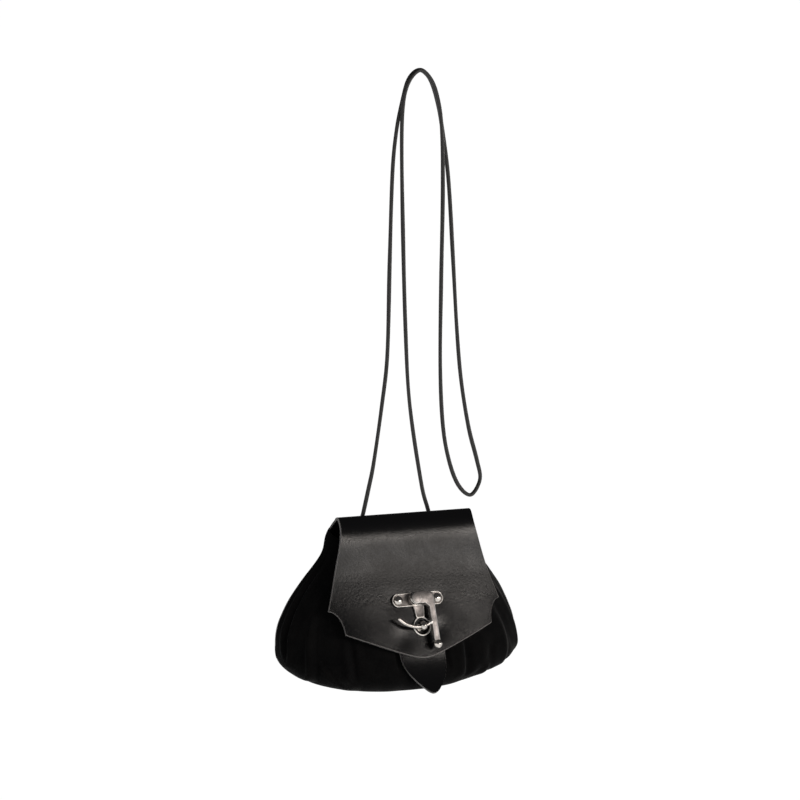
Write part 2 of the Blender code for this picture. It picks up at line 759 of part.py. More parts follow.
def make_pivot_pin(parts, clasp, material):
    """The pin that the lever turns on, set in the plate, with a flat round head."""
    head = lever_base() + HUB_HEIGHT + GAP
    profile = [(0, head + PIVOT_HEAD_HEIGHT),
               (PIVOT_HEAD_RADIUS - PIVOT_HEAD_BEVEL, head + PIVOT_HEAD_HEIGHT),
               (PIVOT_HEAD_RADIUS, head + PIVOT_HEAD_HEIGHT - PIVOT_HEAD_BEVEL),
               (PIVOT_HEAD_RADIUS, head),
               (PIVOT_RADIUS, head), (PIVOT_RADIUS, GAP), (0, GAP)]
    matrix = clasp @ Matrix.Translation((PIVOT_X, 0, 0))
    return turned("pivot_pin", parts, profile, matrix, material, 24)


def lever_base():
    """The height of the hub's foot above the flap: just clear of the plate."""
    return GAP + PLATE_THICKNESS + GAP


def arm_middle():
    """The height of the middle of the lever's arm above the flap."""
    return lever_base() + HUB_HEIGHT - ARM_THICKNESS / 2 - ARM_SETBACK


def horn_points(start_turn, end_turn, steps):
    """Points of the horn's arc round the pivot, by angle left of straight down, in degrees."""
    radius = math.hypot(PIVOT_X, RING_BELOW)
    points = []
    for step in range(steps + 1):
        turn = math.radians(-90 - (start_turn + (end_turn - start_turn) * step / steps))
        points.append(Vector((PIVOT_X + radius * math.cos(turn), radius * math.sin(turn),
                              arm_middle())))
    return points


def make_lever(parts, cutters, clasp, material):
    """The swinging lever: hub, bent arm with a ball, and the curved horn that goes through the stud."""
    left, right = ARM_X - ARM_WIDTH / 2, ARM_X + ARM_WIDTH / 2
    outline = [(PIVOT_X, -BAR_BELOW), (PIVOT_X, BAR_ABOVE)]
    outline += arc(right - CORNER_ROUND, BAR_ABOVE - CORNER_ROUND, CORNER_ROUND, 90, 0, 6)
    outline += [(right, -ARM_FOOT_BELOW), (left, -ARM_FOOT_BELOW), (left, -BAR_BELOW - CORNER_CUT),
                (left - CORNER_CUT, -BAR_BELOW)]
    low = arm_middle() - ARM_THICKNESS / 2
    lever = flat_solid("lever", parts, [outline], low, low + ARM_THICKNESS, clasp)
    lever.data.materials.append(material)
    hub_foot = clasp @ Vector((PIVOT_X, 0, lever_base()))
    hub_top = clasp @ Vector((PIVOT_X, 0, lever_base() + HUB_HEIGHT))
    out = (hub_top - hub_foot).normalized()
    hub = rod("lever_hub", cutters, hub_foot, hub_top, HUB_RADIUS, 24)
    ball_centre = clasp @ Vector((ARM_X, -ARM_FOOT_BELOW - BALL_RADIUS * 0.8, arm_middle()))
    end = ball("lever_ball", cutters, ball_centre, BALL_RADIUS, 18, 11)
    radius = math.hypot(PIVOT_X, RING_BELOW)
    drop = math.sqrt(radius ** 2 - (left - PIVOT_X) ** 2)
    stub_end = clasp @ Vector((left + STUB_SHOWN, -drop, arm_middle()))
    stub_start = clasp @ Vector((left - STUB_SUNK, -drop - STUB_SHOWN, arm_middle()))
    stub = rod("lever_stub", cutters, stub_start, stub_end, STUB_HEIGHT / 2, 16)
    first = -math.degrees(math.asin((left - PIVOT_X) / radius))
    horn = tube("lever_horn", cutters, horn_points(first, HORN_TIP_TURN, 16), HORN_RADIUS, 2)
    horn.matrix_world = clasp
    bpy.context.view_layer.update()
    horn = curve_to_mesh_object(horn, cutters)
    for extra in (hub, end, stub, horn):
        join(lever, hide_guide(extra))
    bore = rod("lever_bore", cutters, hub_foot - out * MM, hub_top + out * MM, PIVOT_RADIUS + GAP, 16)
    cut(lever, hide_guide(bore))
    return lever


def make_stud(parts, cutters, clasp, material):
    """The stud on the tongue: a ball with a cross hole for the horn, a neck and a base."""
    height = arm_middle()
    base = -LEATHER
    foot = -LEATHER - GAP - TONGUE_LEATHER
    meet = math.asin(STUD_NECK_RADIUS / STUD_BALL_RADIUS)
    profile = [(0, height + STUD_BALL_RADIUS)]
    for step in range(1, 10):
        angle = math.pi / 2 - (math.pi - meet) * step / 9
        profile.append((STUD_BALL_RADIUS * math.cos(angle), height + STUD_BALL_RADIUS * math.sin(angle)))
    profile += [(STUD_NECK_RADIUS, base + STUD_BASE_HEIGHT), (STUD_BASE_RADIUS, base + STUD_BASE_HEIGHT),
                (STUD_BASE_RADIUS, base), (STUD_NECK_RADIUS, base), (STUD_NECK_RADIUS, foot), (0, foot)]
    stud = turned("stud", parts, profile, clasp @ Matrix.Translation((0, -RING_BELOW, 0)), material, 16)
    middle = math.degrees(math.atan2(PIVOT_X, RING_BELOW))
    line = horn_points(middle - HORN_HOLE_TURN, middle + HORN_HOLE_TURN, 8)
    hole = tube("horn_hole", cutters, line, HORN_RADIUS + HOLE_GAP, 3)
    hole.matrix_world = clasp
    bpy.context.view_layer.update()
    cut(stud, hide_guide(curve_to_mesh_object(hole, cutters)))
    return stud


def make_belt_loop(parts, material):
    """A plain strap on the back, sewn down at its top and foot, for a belt to pass through."""
    lift = LOOP_ROOM + GAP
    stations = [(0.0, 0.0), (LOOP_TAB, 0.0), (LOOP_TAB + 0.35 * LOOP_RAMP, 0.3),
                (LOOP_TAB + 0.65 * LOOP_RAMP, 0.8), (LOOP_TAB + LOOP_RAMP, 1.0)]
    mirrored = [(LOOP_HEIGHT - along_it, rise) for along_it, rise in reversed(stations)]
    rows = []
    for along_it, rise in stations + mirrored:
        drop = LOOP_TOP_DROP + along_it
        y = back_face(drop) + GAP + LEATHER + (lift - GAP) * rise
        rows.append([at(share * LOOP_WIDTH / 2, y, drop) for share in (1, 0.33, -0.33, -1)])
    mesh = sheet_mesh("belt_loop", rows)
    mesh.flip_normals()
    loop = place_object("belt_loop", mesh, parts, material)
    thicken(loop, LEATHER)
    return loop


def cord_line():
    """The cord's whole line: from one hole over its support twice to the other."""
    route = [Vector(point) * MM for point in CORD_ROUTE]
    ends = []
    for x in CORD_HOLES_X:
        hole = at(x, back_face(CORD_HOLE_DROP) - LEATHER / 2, CORD_HOLE_DROP)
        knot = at(x, knot_y(), KNOT_DROP)
        above = at(x, back_face(CORD_ABOVE_DROP) + CORD_CLEAR, CORD_ABOVE_DROP)
        stop = knot + (hole - knot).normalized() * (KNOT_RADIUS + GAP)
        ends.append([stop, hole, above])
    return smooth_line(ends[0] + route + list(reversed(ends[1])), CORD_POINTS)


def knot_y():
    """Knots sit between the back panel and the flap, just inside the panel."""
    return back_face(KNOT_DROP) - LEATHER - KNOT_CLEAR - KNOT_RADIUS


def smooth_line(points, count):
    """Points on a smooth curve through the given ones, closer together where it bends."""
    fine = []
    for index in range(len(points) - 1):
        before = points[max(index - 1, 0)]
        start, end = points[index], points[index + 1]
        after = points[min(index + 2, len(points) - 1)]
        pairs = ((before, start), (start, end), (end, after))
        spans = [max((b - a).length, 1e-9) ** 0.5 for a, b in pairs]
        chord = (end - start) / spans[1]
        if index == 0:
            spans[0] = spans[1]
        if index == len(points) - 2:
            spans[2] = spans[1]
        slope_in = (end - before) / (spans[0] + spans[1]) if index else chord
        last = index == len(points) - 2
        slope_out = chord if last else (after - start) / (spans[1] + spans[2])
        for step in range(24):
            fine.append(hermite(step / 24, start, end, slope_in, slope_out, spans[1]))
    fine.append(points[-1])
    lengths = [0.0]
    for index in range(1, len(fine)):
        step = fine[index] - fine[index - 1]
        turn = step.angle(fine[index] - fine[max(index - 2, 0)], 0.0) * 2 if index > 1 else 0.0
        lengths.append(lengths[-1] + step.length + CORD_BEND_WEIGHT * turn)
    result, index = [], 0
    for step in range(count):
        target = lengths[-1] * step / (count - 1)
        while index < len(fine) - 2 and lengths[index + 1] < target:
            index += 1
        share = (target - lengths[index]) / (lengths[index + 1] - lengths[index])
        result.append(fine[index].lerp(fine[index + 1], min(share, 1.0)))
    return result


def main():
    for thing in list(bpy.data.objects):
        bpy.data.objects.remove(thing)
    parts = bpy.data.collections.new("belt_bag")
    cutters = bpy.data.collections.new("cutters")
    bpy.context.scene.collection.children.link(parts)
    bpy.context.scene.collection.children.link(cutters)
    leather = new_material("black_leather", (0.022, 0.021, 0.022), 0.42)
    suede = new_material("black_suede", (0.008, 0.008, 0.008), 0.95)
    nickel = new_material("antique_nickel", (0.42, 0.40, 0.37), 0.32, 1.0)
    lace = new_material("leather_lace", (0.045, 0.042, 0.040), 0.55)
    clasp = clasp_matrix()
    make_flap_back(parts, cutters, clasp, leather)
    make_pouch(parts, cutters, suede)
    make_tongue(parts, cutters, clasp, leather.copy())
    make_plate(parts, cutters, clasp, nickel)
    make_rivet("rivet_left", parts, clasp, -1, nickel.copy())
    make_rivet("rivet_right", parts, clasp, 1, nickel.copy())
    make_pivot_pin(parts, clasp, nickel.copy())
    make_lever(parts, cutters, clasp, nickel.copy())
    make_stud(parts, cutters, clasp, nickel.copy())
    make_belt_loop(parts, leather.copy())
    tube("strap_cord", parts, cord_line(), CORD_DIAMETER / 2, 2, lace)
    for name, x in zip(("knot_left", "knot_right"), CORD_HOLES_X):
        knot = ball(name, parts, at(x, knot_y(), KNOT_DROP), KNOT_RADIUS, 14, 10)
        knot.data.materials.append(lace.copy())


main()
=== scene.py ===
"""How the hanging leather bag looks: its leather, suede, clasp and cord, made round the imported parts.

Metres, +Z up, the front faces -Y. The origin is the point under the cord's highest bend."""
import math

import bmesh
import bpy
from mathutils import Matrix, Vector


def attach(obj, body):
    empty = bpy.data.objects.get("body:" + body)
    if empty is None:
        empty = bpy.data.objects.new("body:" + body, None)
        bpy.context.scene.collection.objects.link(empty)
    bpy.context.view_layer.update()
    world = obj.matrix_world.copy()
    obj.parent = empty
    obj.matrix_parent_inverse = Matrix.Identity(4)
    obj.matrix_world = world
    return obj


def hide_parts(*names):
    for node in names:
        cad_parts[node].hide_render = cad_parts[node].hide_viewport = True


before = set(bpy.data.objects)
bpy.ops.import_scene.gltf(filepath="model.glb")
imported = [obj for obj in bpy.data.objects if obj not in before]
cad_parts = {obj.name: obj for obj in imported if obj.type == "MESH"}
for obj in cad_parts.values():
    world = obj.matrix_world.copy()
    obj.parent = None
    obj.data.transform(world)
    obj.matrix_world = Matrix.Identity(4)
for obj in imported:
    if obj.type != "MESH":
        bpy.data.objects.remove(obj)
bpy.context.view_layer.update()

MM = 0.001

# Where the bag hangs: the middle of the fold's top edge, seen from the origin
BAG_X = -13.2 * MM
BAG_Y = 2.0 * MM
BAG_DROP = 355.0 * MM

# Sheet thicknesses and clearances
LEATHER = 2.2 * MM
SUEDE = 1.6 * MM
TONGUE_LEATHER = 2.0 * MM
GAP = 0.3 * MM
CLOTH_GAP = 1.3 * MM
TOOL_REACH = 6.0 * MM
SAME_PLACE = 0.000001

# Flap
FOLD_RADIUS = 4.5 * MM
FOLD_TURN = 27.0
FLAP_SLOPE = 0.333
BEND_DROP = 50.0 * MM
FLAP_DROP = 113.0 * MM
FLAP_REACH = 37.3 * MM
FLAP_SIDE_DROP = 72.3 * MM
FLAP_HALF = 78.0 * MM
FLAT_HALF = 32.0 * MM
EDGE_CURL = 4.5 * MM
NOTCH_WIDTH = 11.5 * MM
NOTCH_HEIGHT = 18.7 * MM
TIP_ROUNDING = 10.0 * MM
NOTCH_SHARE = 0.8
FLAP_EDGE_ROUNDING = 0.55 * MM

# Back panel and pouch
SEAM_ROUNDNESS = 2.5
RIGHT_RISE = 0.09
LEFT_SHOULDER = 0.065
SHOULDER_DROP = 13.0 * MM
SHOULDER_REACH = 11.0 * MM
POUCH_HALF = 108.8 * MM
SEAM_SIDE_DROP = 104.0 * MM
SEAM_DROP = 139.5 * MM
PANEL_INSET = 0.5 * MM
PANEL_SETBACK = 16.5 * MM
POUCH_DEPTH = 50.0 * MM
FOLD_LIFT = 3.6 * MM
FOLD_SHOWN = 0.45
COVER_MARGIN = 3.0 * MM
COVER_SLOPE = 2.0

# Tongue below the flap
TONGUE_TOP_DROP = 76.0 * MM
TONGUE_DROP = 140.0 * MM
TONGUE_HALF = 20.5 * MM
TONGUE_KICK = 4.3 * MM
TONGUE_LEAN = 3.0 * MM
TONGUE_CURL = 1.0 * MM
TONGUE_TIP_START = 0.945
TONGUE_TIP_REACH = 0.98
TONGUE_EDGE_ROUNDING = 0.5 * MM

# Clasp, measured along the flap from the line through its two rivets
RIVET_DROP = 67.8 * MM
RIVET_X = 17.6 * MM
RIVET_HEAD_RADIUS = 3.9 * MM
RIVET_HEAD_HEIGHT = 1.9 * MM
RIVET_SHANK_RADIUS = 1.5 * MM
RIVET_BACK_HEIGHT = 0.7 * MM
PLATE_THICKNESS = 1.7 * MM
EAR_RADIUS = 5.4 * MM
EAR_RIM = 0.7 * MM
RECESS = 0.5 * MM
EAR_SHRINK = (0.992, 0.97, 1)
EAR_ROUNDING = 0.25 * MM
NECK_ROUNDING = 0.22 * MM
NECK_TOP_HALF = 4.9 * MM
NECK_FOOT_HALF = 3.5 * MM
NECK_INTO_EARS = 1.2 * MM
NECK_INTO_RING = 0.4 * MM
RING_BELOW = 22.6 * MM
RING_RADIUS = 7.9 * MM
RING_BAND = 1.4 * MM
RING_WIRE = 1.25 * MM
RING_SHIFT_X = 0.7 * MM
RING_SHIFT_Y = 0.5 * MM
PIVOT_X = -4.8 * MM
PIVOT_RADIUS = 1.7 * MM
PIVOT_HEAD_RADIUS = 4.3 * MM
PIVOT_HEAD_HEIGHT = 0.9 * MM
HUB_RADIUS = 4.9 * MM
HUB_HEIGHT = 6.4 * MM
ARM_X = 9.3 * MM
ARM_WIDTH = 5.4 * MM
ARM_THICKNESS = 3.4 * MM
ARM_SETBACK = 0.3 * MM
ARM_FOOT_BELOW = 35.2 * MM
ARM_BRIGHT_EDGE = 1.8 * MM
ARM_ROUNDING = 0.3 * MM
BAR_ABOVE = 5.0 * MM
BAR_BELOW = 4.2 * MM
CORNER_CUT = 3.4 * MM
CORNER_ROUND = 4.0 * MM
BALL_RADIUS = 3.8 * MM
HORN_SHOWN_RADIUS = 1.5 * MM
HORN_TIP_TURN = 50.0
HORN_ROUNDING = 0.5 * MM
HORN_HOLE_GAP = 0.4 * MM
STUB_HEIGHT = 4.2 * MM
STUB_LENGTH = 2.7 * MM
STUB_SHOWN = 0.2 * MM
STUD_BALL_RADIUS = 3.5 * MM
STUD_NECK_RADIUS = 1.7 * MM
STUD_BASE_RADIUS = 2.7 * MM
STUD_BASE_HEIGHT = 0.9 * MM
STUD_SHOWN_LEFT = 1.0 * MM
STUD_OVAL = (0.9, 1.06)
STUD_HOLE_INSIDE = 0.5 * MM
HORN_ARC_RADIUS = math.hypot(PIVOT_X, RING_BELOW)

# Belt loop on the back
LOOP_WIDTH = 32.0 * MM
LOOP_TOP_DROP = 36.0 * MM
LOOP_HEIGHT = 86.0 * MM
LOOP_TAB = 11.0 * MM
LOOP_ROOM = 6.5 * MM
LOOP_RAMP = 10.0 * MM
LOOP_CORNER = 2.5 * MM
LOOP_EDGE_ROUNDING = 0.35 * MM

# Cord
CORD_DIAMETER = 3.3 * MM
CORD_HOLES_X = (-32.4 * MM, 30.0 * MM)
CORD_HOLE_DROP = 12.5 * MM
CORD_ABOVE_DROP = 5.0 * MM
CORD_CLEAR = 6.2 * MM
KNOT_RADIUS = 3.0 * MM
KNOT_DROP = 17.2 * MM
KNOT_CLEAR = 0.4 * MM
CORD_POINTS = 260
CORD_FINE_STEPS = 24
CORD_BEND_WEIGHT = 40.0 * MM
KNOT_POINTS = 48
KNOT_STRAND_RADIUS = 0.34 * CORD_DIAMETER

# Stitches on the back
STITCH_LENGTH = 3.4 * MM
STITCH_WIDTH = 0.8 * MM
STITCH_STEP = 5.0 * MM
STITCH_LIFT = 0.1 * MM
STITCH_TOP_DROP = 22.0 * MM
SEAM_INSIDE = 4.5 * MM
TAB_INSIDE = 2.5 * MM
TAB_SIDE_INSIDE = 4.0 * MM

# The heights over which the flap's rubbed band, which also carries a painted highlight, fades in, from
# below and from above
RUBBED_AND_HIGHLIGHT_LOW = (-0.446, -0.398)
RUBBED_AND_HIGHLIGHT_HIGH = (-0.366, -0.380)

# How finely the sheets are divided: rows down them and steps across them
FLAP_ROWS = 16
BEND_ROWS = 20
FOLD_ROWS = 12
BACK_ROWS = 26
BACK_ROW_CROWDING = 1.4
FLAP_STEPS = 30
NOTCH_STEPS = 10
SUEDE_ROWS = 96
SUEDE_STEPS = 260
TONGUE_ROWS = 33
TONGUE_TIP_ROWS = 4
TONGUE_STEPS = 24
LOOP_ROWS = 60
LOOP_STEPS = 12

# The flap's half width: drop is a share of FLAP_SIDE_DROP, half of FLAP_HALF
FLAP_WIDTHS = (
    (0.00, 0.776),
    (0.14, 0.780),
    (0.33, 0.814),
    (0.54, 0.866),
    (0.76, 0.925),
    (0.90, 0.968),
    (1.00, 1.000),
)

# The flap from the end of its fold to its bend: drop is a share of the way down, out of the way forward
FLAP_LINE = (
    (0.00, 0.000),
    (0.0535, 0.129),
    (0.117, 0.243),
    (0.20, 0.365),
    (0.327, 0.495),
    (0.474, 0.604),
    (0.706, 0.738),
    (0.874, 0.868),
    (1.00, 1.000),
)

# Hollows in the flap, in millimetres: under the clasp's ears, beside the ring, and a soft wave above
FLAP_HOLLOWS = (
    # across, half width, drop, half height, depth
    (-RIVET_X / MM, 9, RIVET_DROP / MM, 8, 0.35),
    (RIVET_X / MM, 9, RIVET_DROP / MM, 8, 0.35),
    (16, 7, 92, 7, 0.5),
    (-17, 8, 97, 9, 0.5),
    (-28, 14, 34, 12, 0.3),
)

# The back's half width: drop is a share of SEAM_SIDE_DROP, half of POUCH_HALF
BACK_WIDTHS = (
    (0.00, 0.545),
    (0.11, 0.566),
    (0.20, 0.594),
    (0.29, 0.631),
    (0.38, 0.694),
    (0.46, 0.761),
    (0.55, 0.829),
    (0.64, 0.892),
    (0.73, 0.940),
    (0.82, 0.980),
    (0.91, 0.998),
    (1.00, 1.000),
)

# The back panel's outer face behind the fold's middle: drop is a share of SEAM_DROP, back of PANEL_SETBACK
BACK_LINE = (
    (0.0176, 0.243),
    (0.045, 0.37),
    (0.09, 0.53),
    (0.14, 0.66),
    (0.29, 0.87),
    (0.50, 0.98),
    (1.00, 1.00),
)

# The pouch from its mouth round the belly to the bottom seam, in the middle and at its side seam:
# middle is a share of SEAM_DROP, side of SEAM_SIDE_DROP, out of POUCH_DEPTH
POUCH_ROWS = (
    # middle, side, out
    (0.172, 0.09, 0.24),
    (0.27, 0.22, 0.395),
    (0.38, 0.37, 0.54),
    (0.49, 0.51, 0.63),
    (0.60, 0.63, 0.725),
    (0.70, 0.74, 0.82),
    (0.79, 0.83, 0.91),
    (0.87, 0.89, 0.98),
    (0.93, 0.93, 1.00),
    (0.97, 0.955, 0.955),
    (1.002, 0.97, 0.84),
    (1.018, 0.98, 0.63),
    (1.020, 0.99, 0.36),
    (1.012, 0.995, 0.13),
    (1.000, 1.00, 0.00),
)
POUCH_LINE = [(index / (len(POUCH_ROWS) - 1), *row) for index, row in enumerate(POUCH_ROWS)]

# The pouch's wide folds: place across at the mouth and at the foot from -1 to 1, height as a share
# of FOLD_LIFT, width as a share of the half turn, and where down the pouch each begins and ends
POUCH_FOLDS = (
    # mouth, foot, lift, width, begins, ends
    (-0.80, -0.80, 0.80, 0.070, 0.02, 0.97),
    (-0.58, -0.62, 1.00, 0.080, 0.10, 0.97),
    (-0.40, -0.28, 0.90, 0.065, 0.42, 0.98),
    (-0.16, -0.10, 0.40, 0.070, 0.50, 0.96),
    (0.14, 0.12, 0.40, 0.070, 0.50, 0.96),
    (0.34, 0.30, 0.90, 0.065, 0.40, 0.97),
    (0.56, 0.46, 0.70, 0.070, 0.30, 0.97),
    (0.70, 0.78, 0.80, 0.080, 0.05, 0.97),
)

# Sharper pleats on top of the folds: each is a crease with a soft rise on one side
POUCH_PLEATS = (
    # start turn, start place, end turn, end place, depth in mm, width
    (-0.88, 0.10, -0.83, 0.66, 1.8, 0.022),
    (-0.60, 0.15, -0.53, 0.86, 2.2, 0.022),
    (-0.33, 0.34, -0.31, 0.62, 3.0, 0.020),
    (-0.53, 0.46, -0.36, 0.70, 1.5, 0.024),
    (0.21, 0.38, 0.19, 0.62, 2.6, 0.020),
    (0.56, 0.24, 0.64, 0.56, 1.2, 0.045),
    (0.41, 0.42, 0.26, 0.66, 1.2, 0.040),
    (0.84, 0.20, 0.82, 0.70, 1.4, 0.030),
)

# The tongue's half width: drop is a share of the way from its top to its tip, half of TONGUE_HALF
TONGUE_WIDTHS = (
    (0.00, 0.86),
    (0.10, 0.97),
    (0.45, 1.00),
    (0.64, 0.95),
    (0.74, 0.84),
    (0.82, 0.69),
    (0.90, 0.48),
    (0.96, 0.27),
)

# Where the cord runs from the left hole over its support twice and back to the right hole,
# the same points as in the part, in millimetres from the origin
CORD_ROUTE = (
    (-44.6, 12.6, -354.5), (-40.3, 11.2, -334.0), (-36.8, 9.6, -315.0), (-29.6, 8.3, -266.0),
    (-25.4, 7.3, -227.5), (-23.7, 6.2, -150.0), (-21.6, 5.2, -78.0), (-18.6, 4.1, -46.0),
    (-14.4, 3.1, -25.0), (-8.6, 2.2, -5.8), (0.6, 2.0, 1.65), (10.2, 2.2, -5.0),
    (18.0, 2.4, -25.7), (23.1, 2.9, -50.0), (28.4, 3.3, -87.0), (33.0, 3.8, -151.0),
    (37.0, 4.2, -210.0), (41.2, 4.7, -250.0), (48.6, 5.1, -289.5), (56.6, 5.6, -316.5),
    (59.4, 5.4, -332.5), (50.3, 4.2, -344.5), (38.8, 3.0, -337.0), (29.4, 1.8, -318.0),
    (22.6, 1.1, -288.0), (19.6, 0.6, -239.0), (20.0, 0.1, -170.0), (21.2, -0.4, -93.0),
    (19.6, -0.9, -41.5), (15.0, -1.5, -18.0), (8.6, -2.0, -4.8), (-0.6, -2.2, 1.65),
    (-9.6, -1.9, -6.0), (-14.4, -0.2, -22.0), (-15.3, 1.5, -54.0), (-13.2, 3.2, -131.0),
    (-9.9, 5.0, -208.5), (-5.1, 7.0, -267.5), (8.0, 10.8, -335.0), (14.6, 12.6, -354.5),
)

# Camera and stage
CAMERA_TARGET = (-0.02633, -0.01629, -0.26103)
CAMERA_DISTANCE = 2.7
CAMERA_AZIMUTH = 28.0
CAMERA_ELEVATION = 5.85
CAMERA_LENS = 151.875
CAMERA_SENSOR = 36.0
LIGHT_COLOR = (1.0, 0.93, 0.87)
WORLD_COLOR = (0.06, 0.06, 0.062, 1)
FLOOR_HEIGHT = -0.75
BOWL_RADIUS = 8.0
BOWL_RIM_HEIGHT = 0.66
BOWL_BEND = 1.0
BOWL_STEPS = 8


# Shapes that the part and the scene share

def hermite(share, start, end, start_slope, end_slope, length):
    """A cubic from start to end whose slopes at both ends are given."""
    squared = share * share
    cubed = squared * share
    return (start * (2 * cubed - 3 * squared + 1) + end * (3 * squared - 2 * cubed)
            + length * start_slope * (cubed - 2 * squared + share)
            + length * end_slope * (cubed - squared))


def along(table, share, column=1):
    """The value of a table's column at a share, on a smooth curve through its rows."""
    share = min(max(share, table[0][0]), table[-1][0])
    for index in range(len(table) - 1):
        low, high = table[index], table[index + 1]
        if share <= high[0]:
            before = table[max(index - 1, 0)]
            after = table[min(index + 2, len(table) - 1)]
            width = high[0] - low[0]
            slope_in = (high[column] - before[column]) / (high[0] - before[0])
            slope_out = (after[column] - low[column]) / (after[0] - low[0])
            place = (share - low[0]) / width
            return hermite(place, low[column], high[column], slope_in, slope_out, width)
    return table[-1][column]


def smooth(value, low, high):
    """0 below low, 1 above high, and an S curve between them."""
    share = min(max((value - low) / (high - low), 0.0), 1.0)
    return share * share * (3 - 2 * share)


def bell(value, centre, width):
    """1 at the centre, falling softly to 0 over the width on both sides."""
    return math.exp(-((value - centre) / width) ** 2)


def at(x, y, drop):
    """A place given from the middle of the fold's top edge, in the part's frame."""
    return Vector((BAG_X + x, BAG_Y + y, -BAG_DROP - drop))


def fold_point(turn):
    """The Y and the drop of the fold's round part: turn is 0 in front, 90 at the top, 180 behind."""
    angle = math.radians(turn)
    return -FOLD_RADIUS * math.cos(angle), FOLD_RADIUS * (1 - math.sin(angle))


def flap_out(drop):
    """How far the flap's outer face stands in front of the fold's middle."""
    if drop >= BEND_DROP:
        return FLAP_REACH - FLAP_SLOPE * (FLAP_DROP - drop)
    bend_out = FLAP_REACH - FLAP_SLOPE * (FLAP_DROP - BEND_DROP)
    start_y, start_drop = fold_point(FOLD_TURN)
    share = max(drop - start_drop, 0.0) / (BEND_DROP - start_drop)
    return -start_y + (bend_out + start_y) * along(FLAP_LINE, share)


def flap_face(x, drop):
    """The Y of the flap's outer face, whose sides curl back a little."""
    side = max(0.0, abs(x) - FLAT_HALF) / (FLAP_HALF - FLAT_HALF)
    curl = EDGE_CURL * side * side * smooth(drop, 0.0, FLAP_SIDE_DROP)
    return curl - flap_out(drop)


def flap_half(drop):
    return FLAP_HALF * along(FLAP_WIDTHS, drop / FLAP_SIDE_DROP)


def back_half(drop):
    return POUCH_HALF * along(BACK_WIDTHS, drop / SEAM_SIDE_DROP)


def back_face(drop):
    """The Y of the back panel's outer face."""
    return PANEL_SETBACK * along(BACK_LINE, drop / SEAM_DROP)


def panel_inner(drop):
    """The Y of the back panel's inner face, whose wall is measured square to it."""
    slope = (back_face(drop + MM) - back_face(drop - MM)) / (2 * MM)
    return back_face(drop) - LEATHER * math.hypot(1, slope)


def flap_lower_edge(share):
    """The flap's lower edge: a blunt V, then a hollow quarter round at each corner."""
    side = math.copysign(1.0, share)
    corner = FLAP_HALF - NOTCH_WIDTH
    corner_drop = FLAP_SIDE_DROP + NOTCH_HEIGHT
    if abs(share) > NOTCH_SHARE:
        turn = math.pi / 2 * (abs(share) - NOTCH_SHARE) / (1 - NOTCH_SHARE)
        x = FLAP_HALF - NOTCH_WIDTH * math.cos(turn)
        return side * x, corner_drop - NOTCH_HEIGHT * math.sin(turn)
    x = corner * abs(share) / NOTCH_SHARE
    fall = (FLAP_DROP - corner_drop) / (math.hypot(corner, TIP_ROUNDING) - TIP_ROUNDING)
    return side * x, FLAP_DROP - fall * (math.hypot(x, TIP_ROUNDING) - TIP_ROUNDING)


def flap_rim(x):
    """How far down the flap reaches at a place across."""
    corner = FLAP_HALF - NOTCH_WIDTH
    if abs(x) < corner:
        return flap_lower_edge(NOTCH_SHARE * x / corner)[1]
    return FLAP_SIDE_DROP


def rounded_row(turn, half, side_drop, middle_drop):
    """A row that hangs as a U between the side seams: turn runs from -1 to 1."""
    angle = abs(turn) * math.pi / 2
    x = half * math.sin(angle) ** (2 / SEAM_ROUNDNESS)
    fall = max(math.cos(angle), 0.0) ** (2 / SEAM_ROUNDNESS)
    fall *= 1 - RIGHT_RISE * smooth(turn, 0.0, 0.35) * (1 - smooth(turn, 0.5, 0.8))
    drop = side_drop + (middle_drop - side_drop) * fall
    x *= 1 + LEFT_SHOULDER * bell(drop, SHOULDER_DROP, SHOULDER_REACH) * smooth(-turn, 0.0, 0.8)
    return math.copysign(x, turn), drop


def tongue_shift(drop):
    """The tongue leans a little to one side towards its tip."""
    return TONGUE_LEAN * smooth(drop, FLAP_DROP - TONGUE_LEAN, TONGUE_DROP)


def tongue_face(x, drop):
    """The Y of the tongue's outer face: behind the flap, then standing forward below it."""
    behind = (LEATHER + GAP) * math.hypot(1, FLAP_SLOPE)
    below = max(drop - FLAP_DROP, 0.0) / (TONGUE_DROP - FLAP_DROP)
    edge = abs(x - tongue_shift(drop)) / TONGUE_HALF
    return -flap_out(drop) + behind - TONGUE_KICK * below * below + TONGUE_CURL * edge ** 3


def cover_face(x, drop):
    """The farthest forward that the suede may stand under the flap and the tongue."""
    behind = (LEATHER + CLOTH_GAP) * math.hypot(1, FLAP_SLOPE)
    beyond = max(abs(x) - flap_half(min(drop, FLAP_SIDE_DROP)), drop - flap_rim(x), 0.0)
    limit = flap_face(x, drop) + behind
    limit -= COVER_SLOPE * max(beyond - COVER_MARGIN, 0.0)
    if drop > TONGUE_TOP_DROP - 2 * COVER_MARGIN:
        beside = max(abs(x - tongue_shift(drop)) - TONGUE_HALF - COVER_MARGIN, 0.0)
        thick = TONGUE_LEATHER * math.hypot(1, FLAP_SLOPE + 0.3) + CLOTH_GAP
        limit = max(limit, tongue_face(x, drop) + thick - COVER_SLOPE * beside)
    return limit


def pleat_lift(turn, place):
    """The pleats: a narrow crease, and beside it a soft rise where the suede folds over."""
    lift = 0.0
    for turn_in, place_in, turn_out, place_out, depth, width in POUCH_PLEATS:
        share = (place - place_in) / (place_out - place_in)
        centre = turn_in + (turn_out - turn_in) * min(max(share, -0.2), 1.2)
        across = (turn - centre) / width
        reach = smooth(share, -0.1, 0.3) * (1 - smooth(share, 0.75, 1.15))
        crease = 0.8 * bell(across, -2.0, 1.3) - bell(across, 0.0, 1.0)
        lift += depth * MM * reach * crease
    return lift


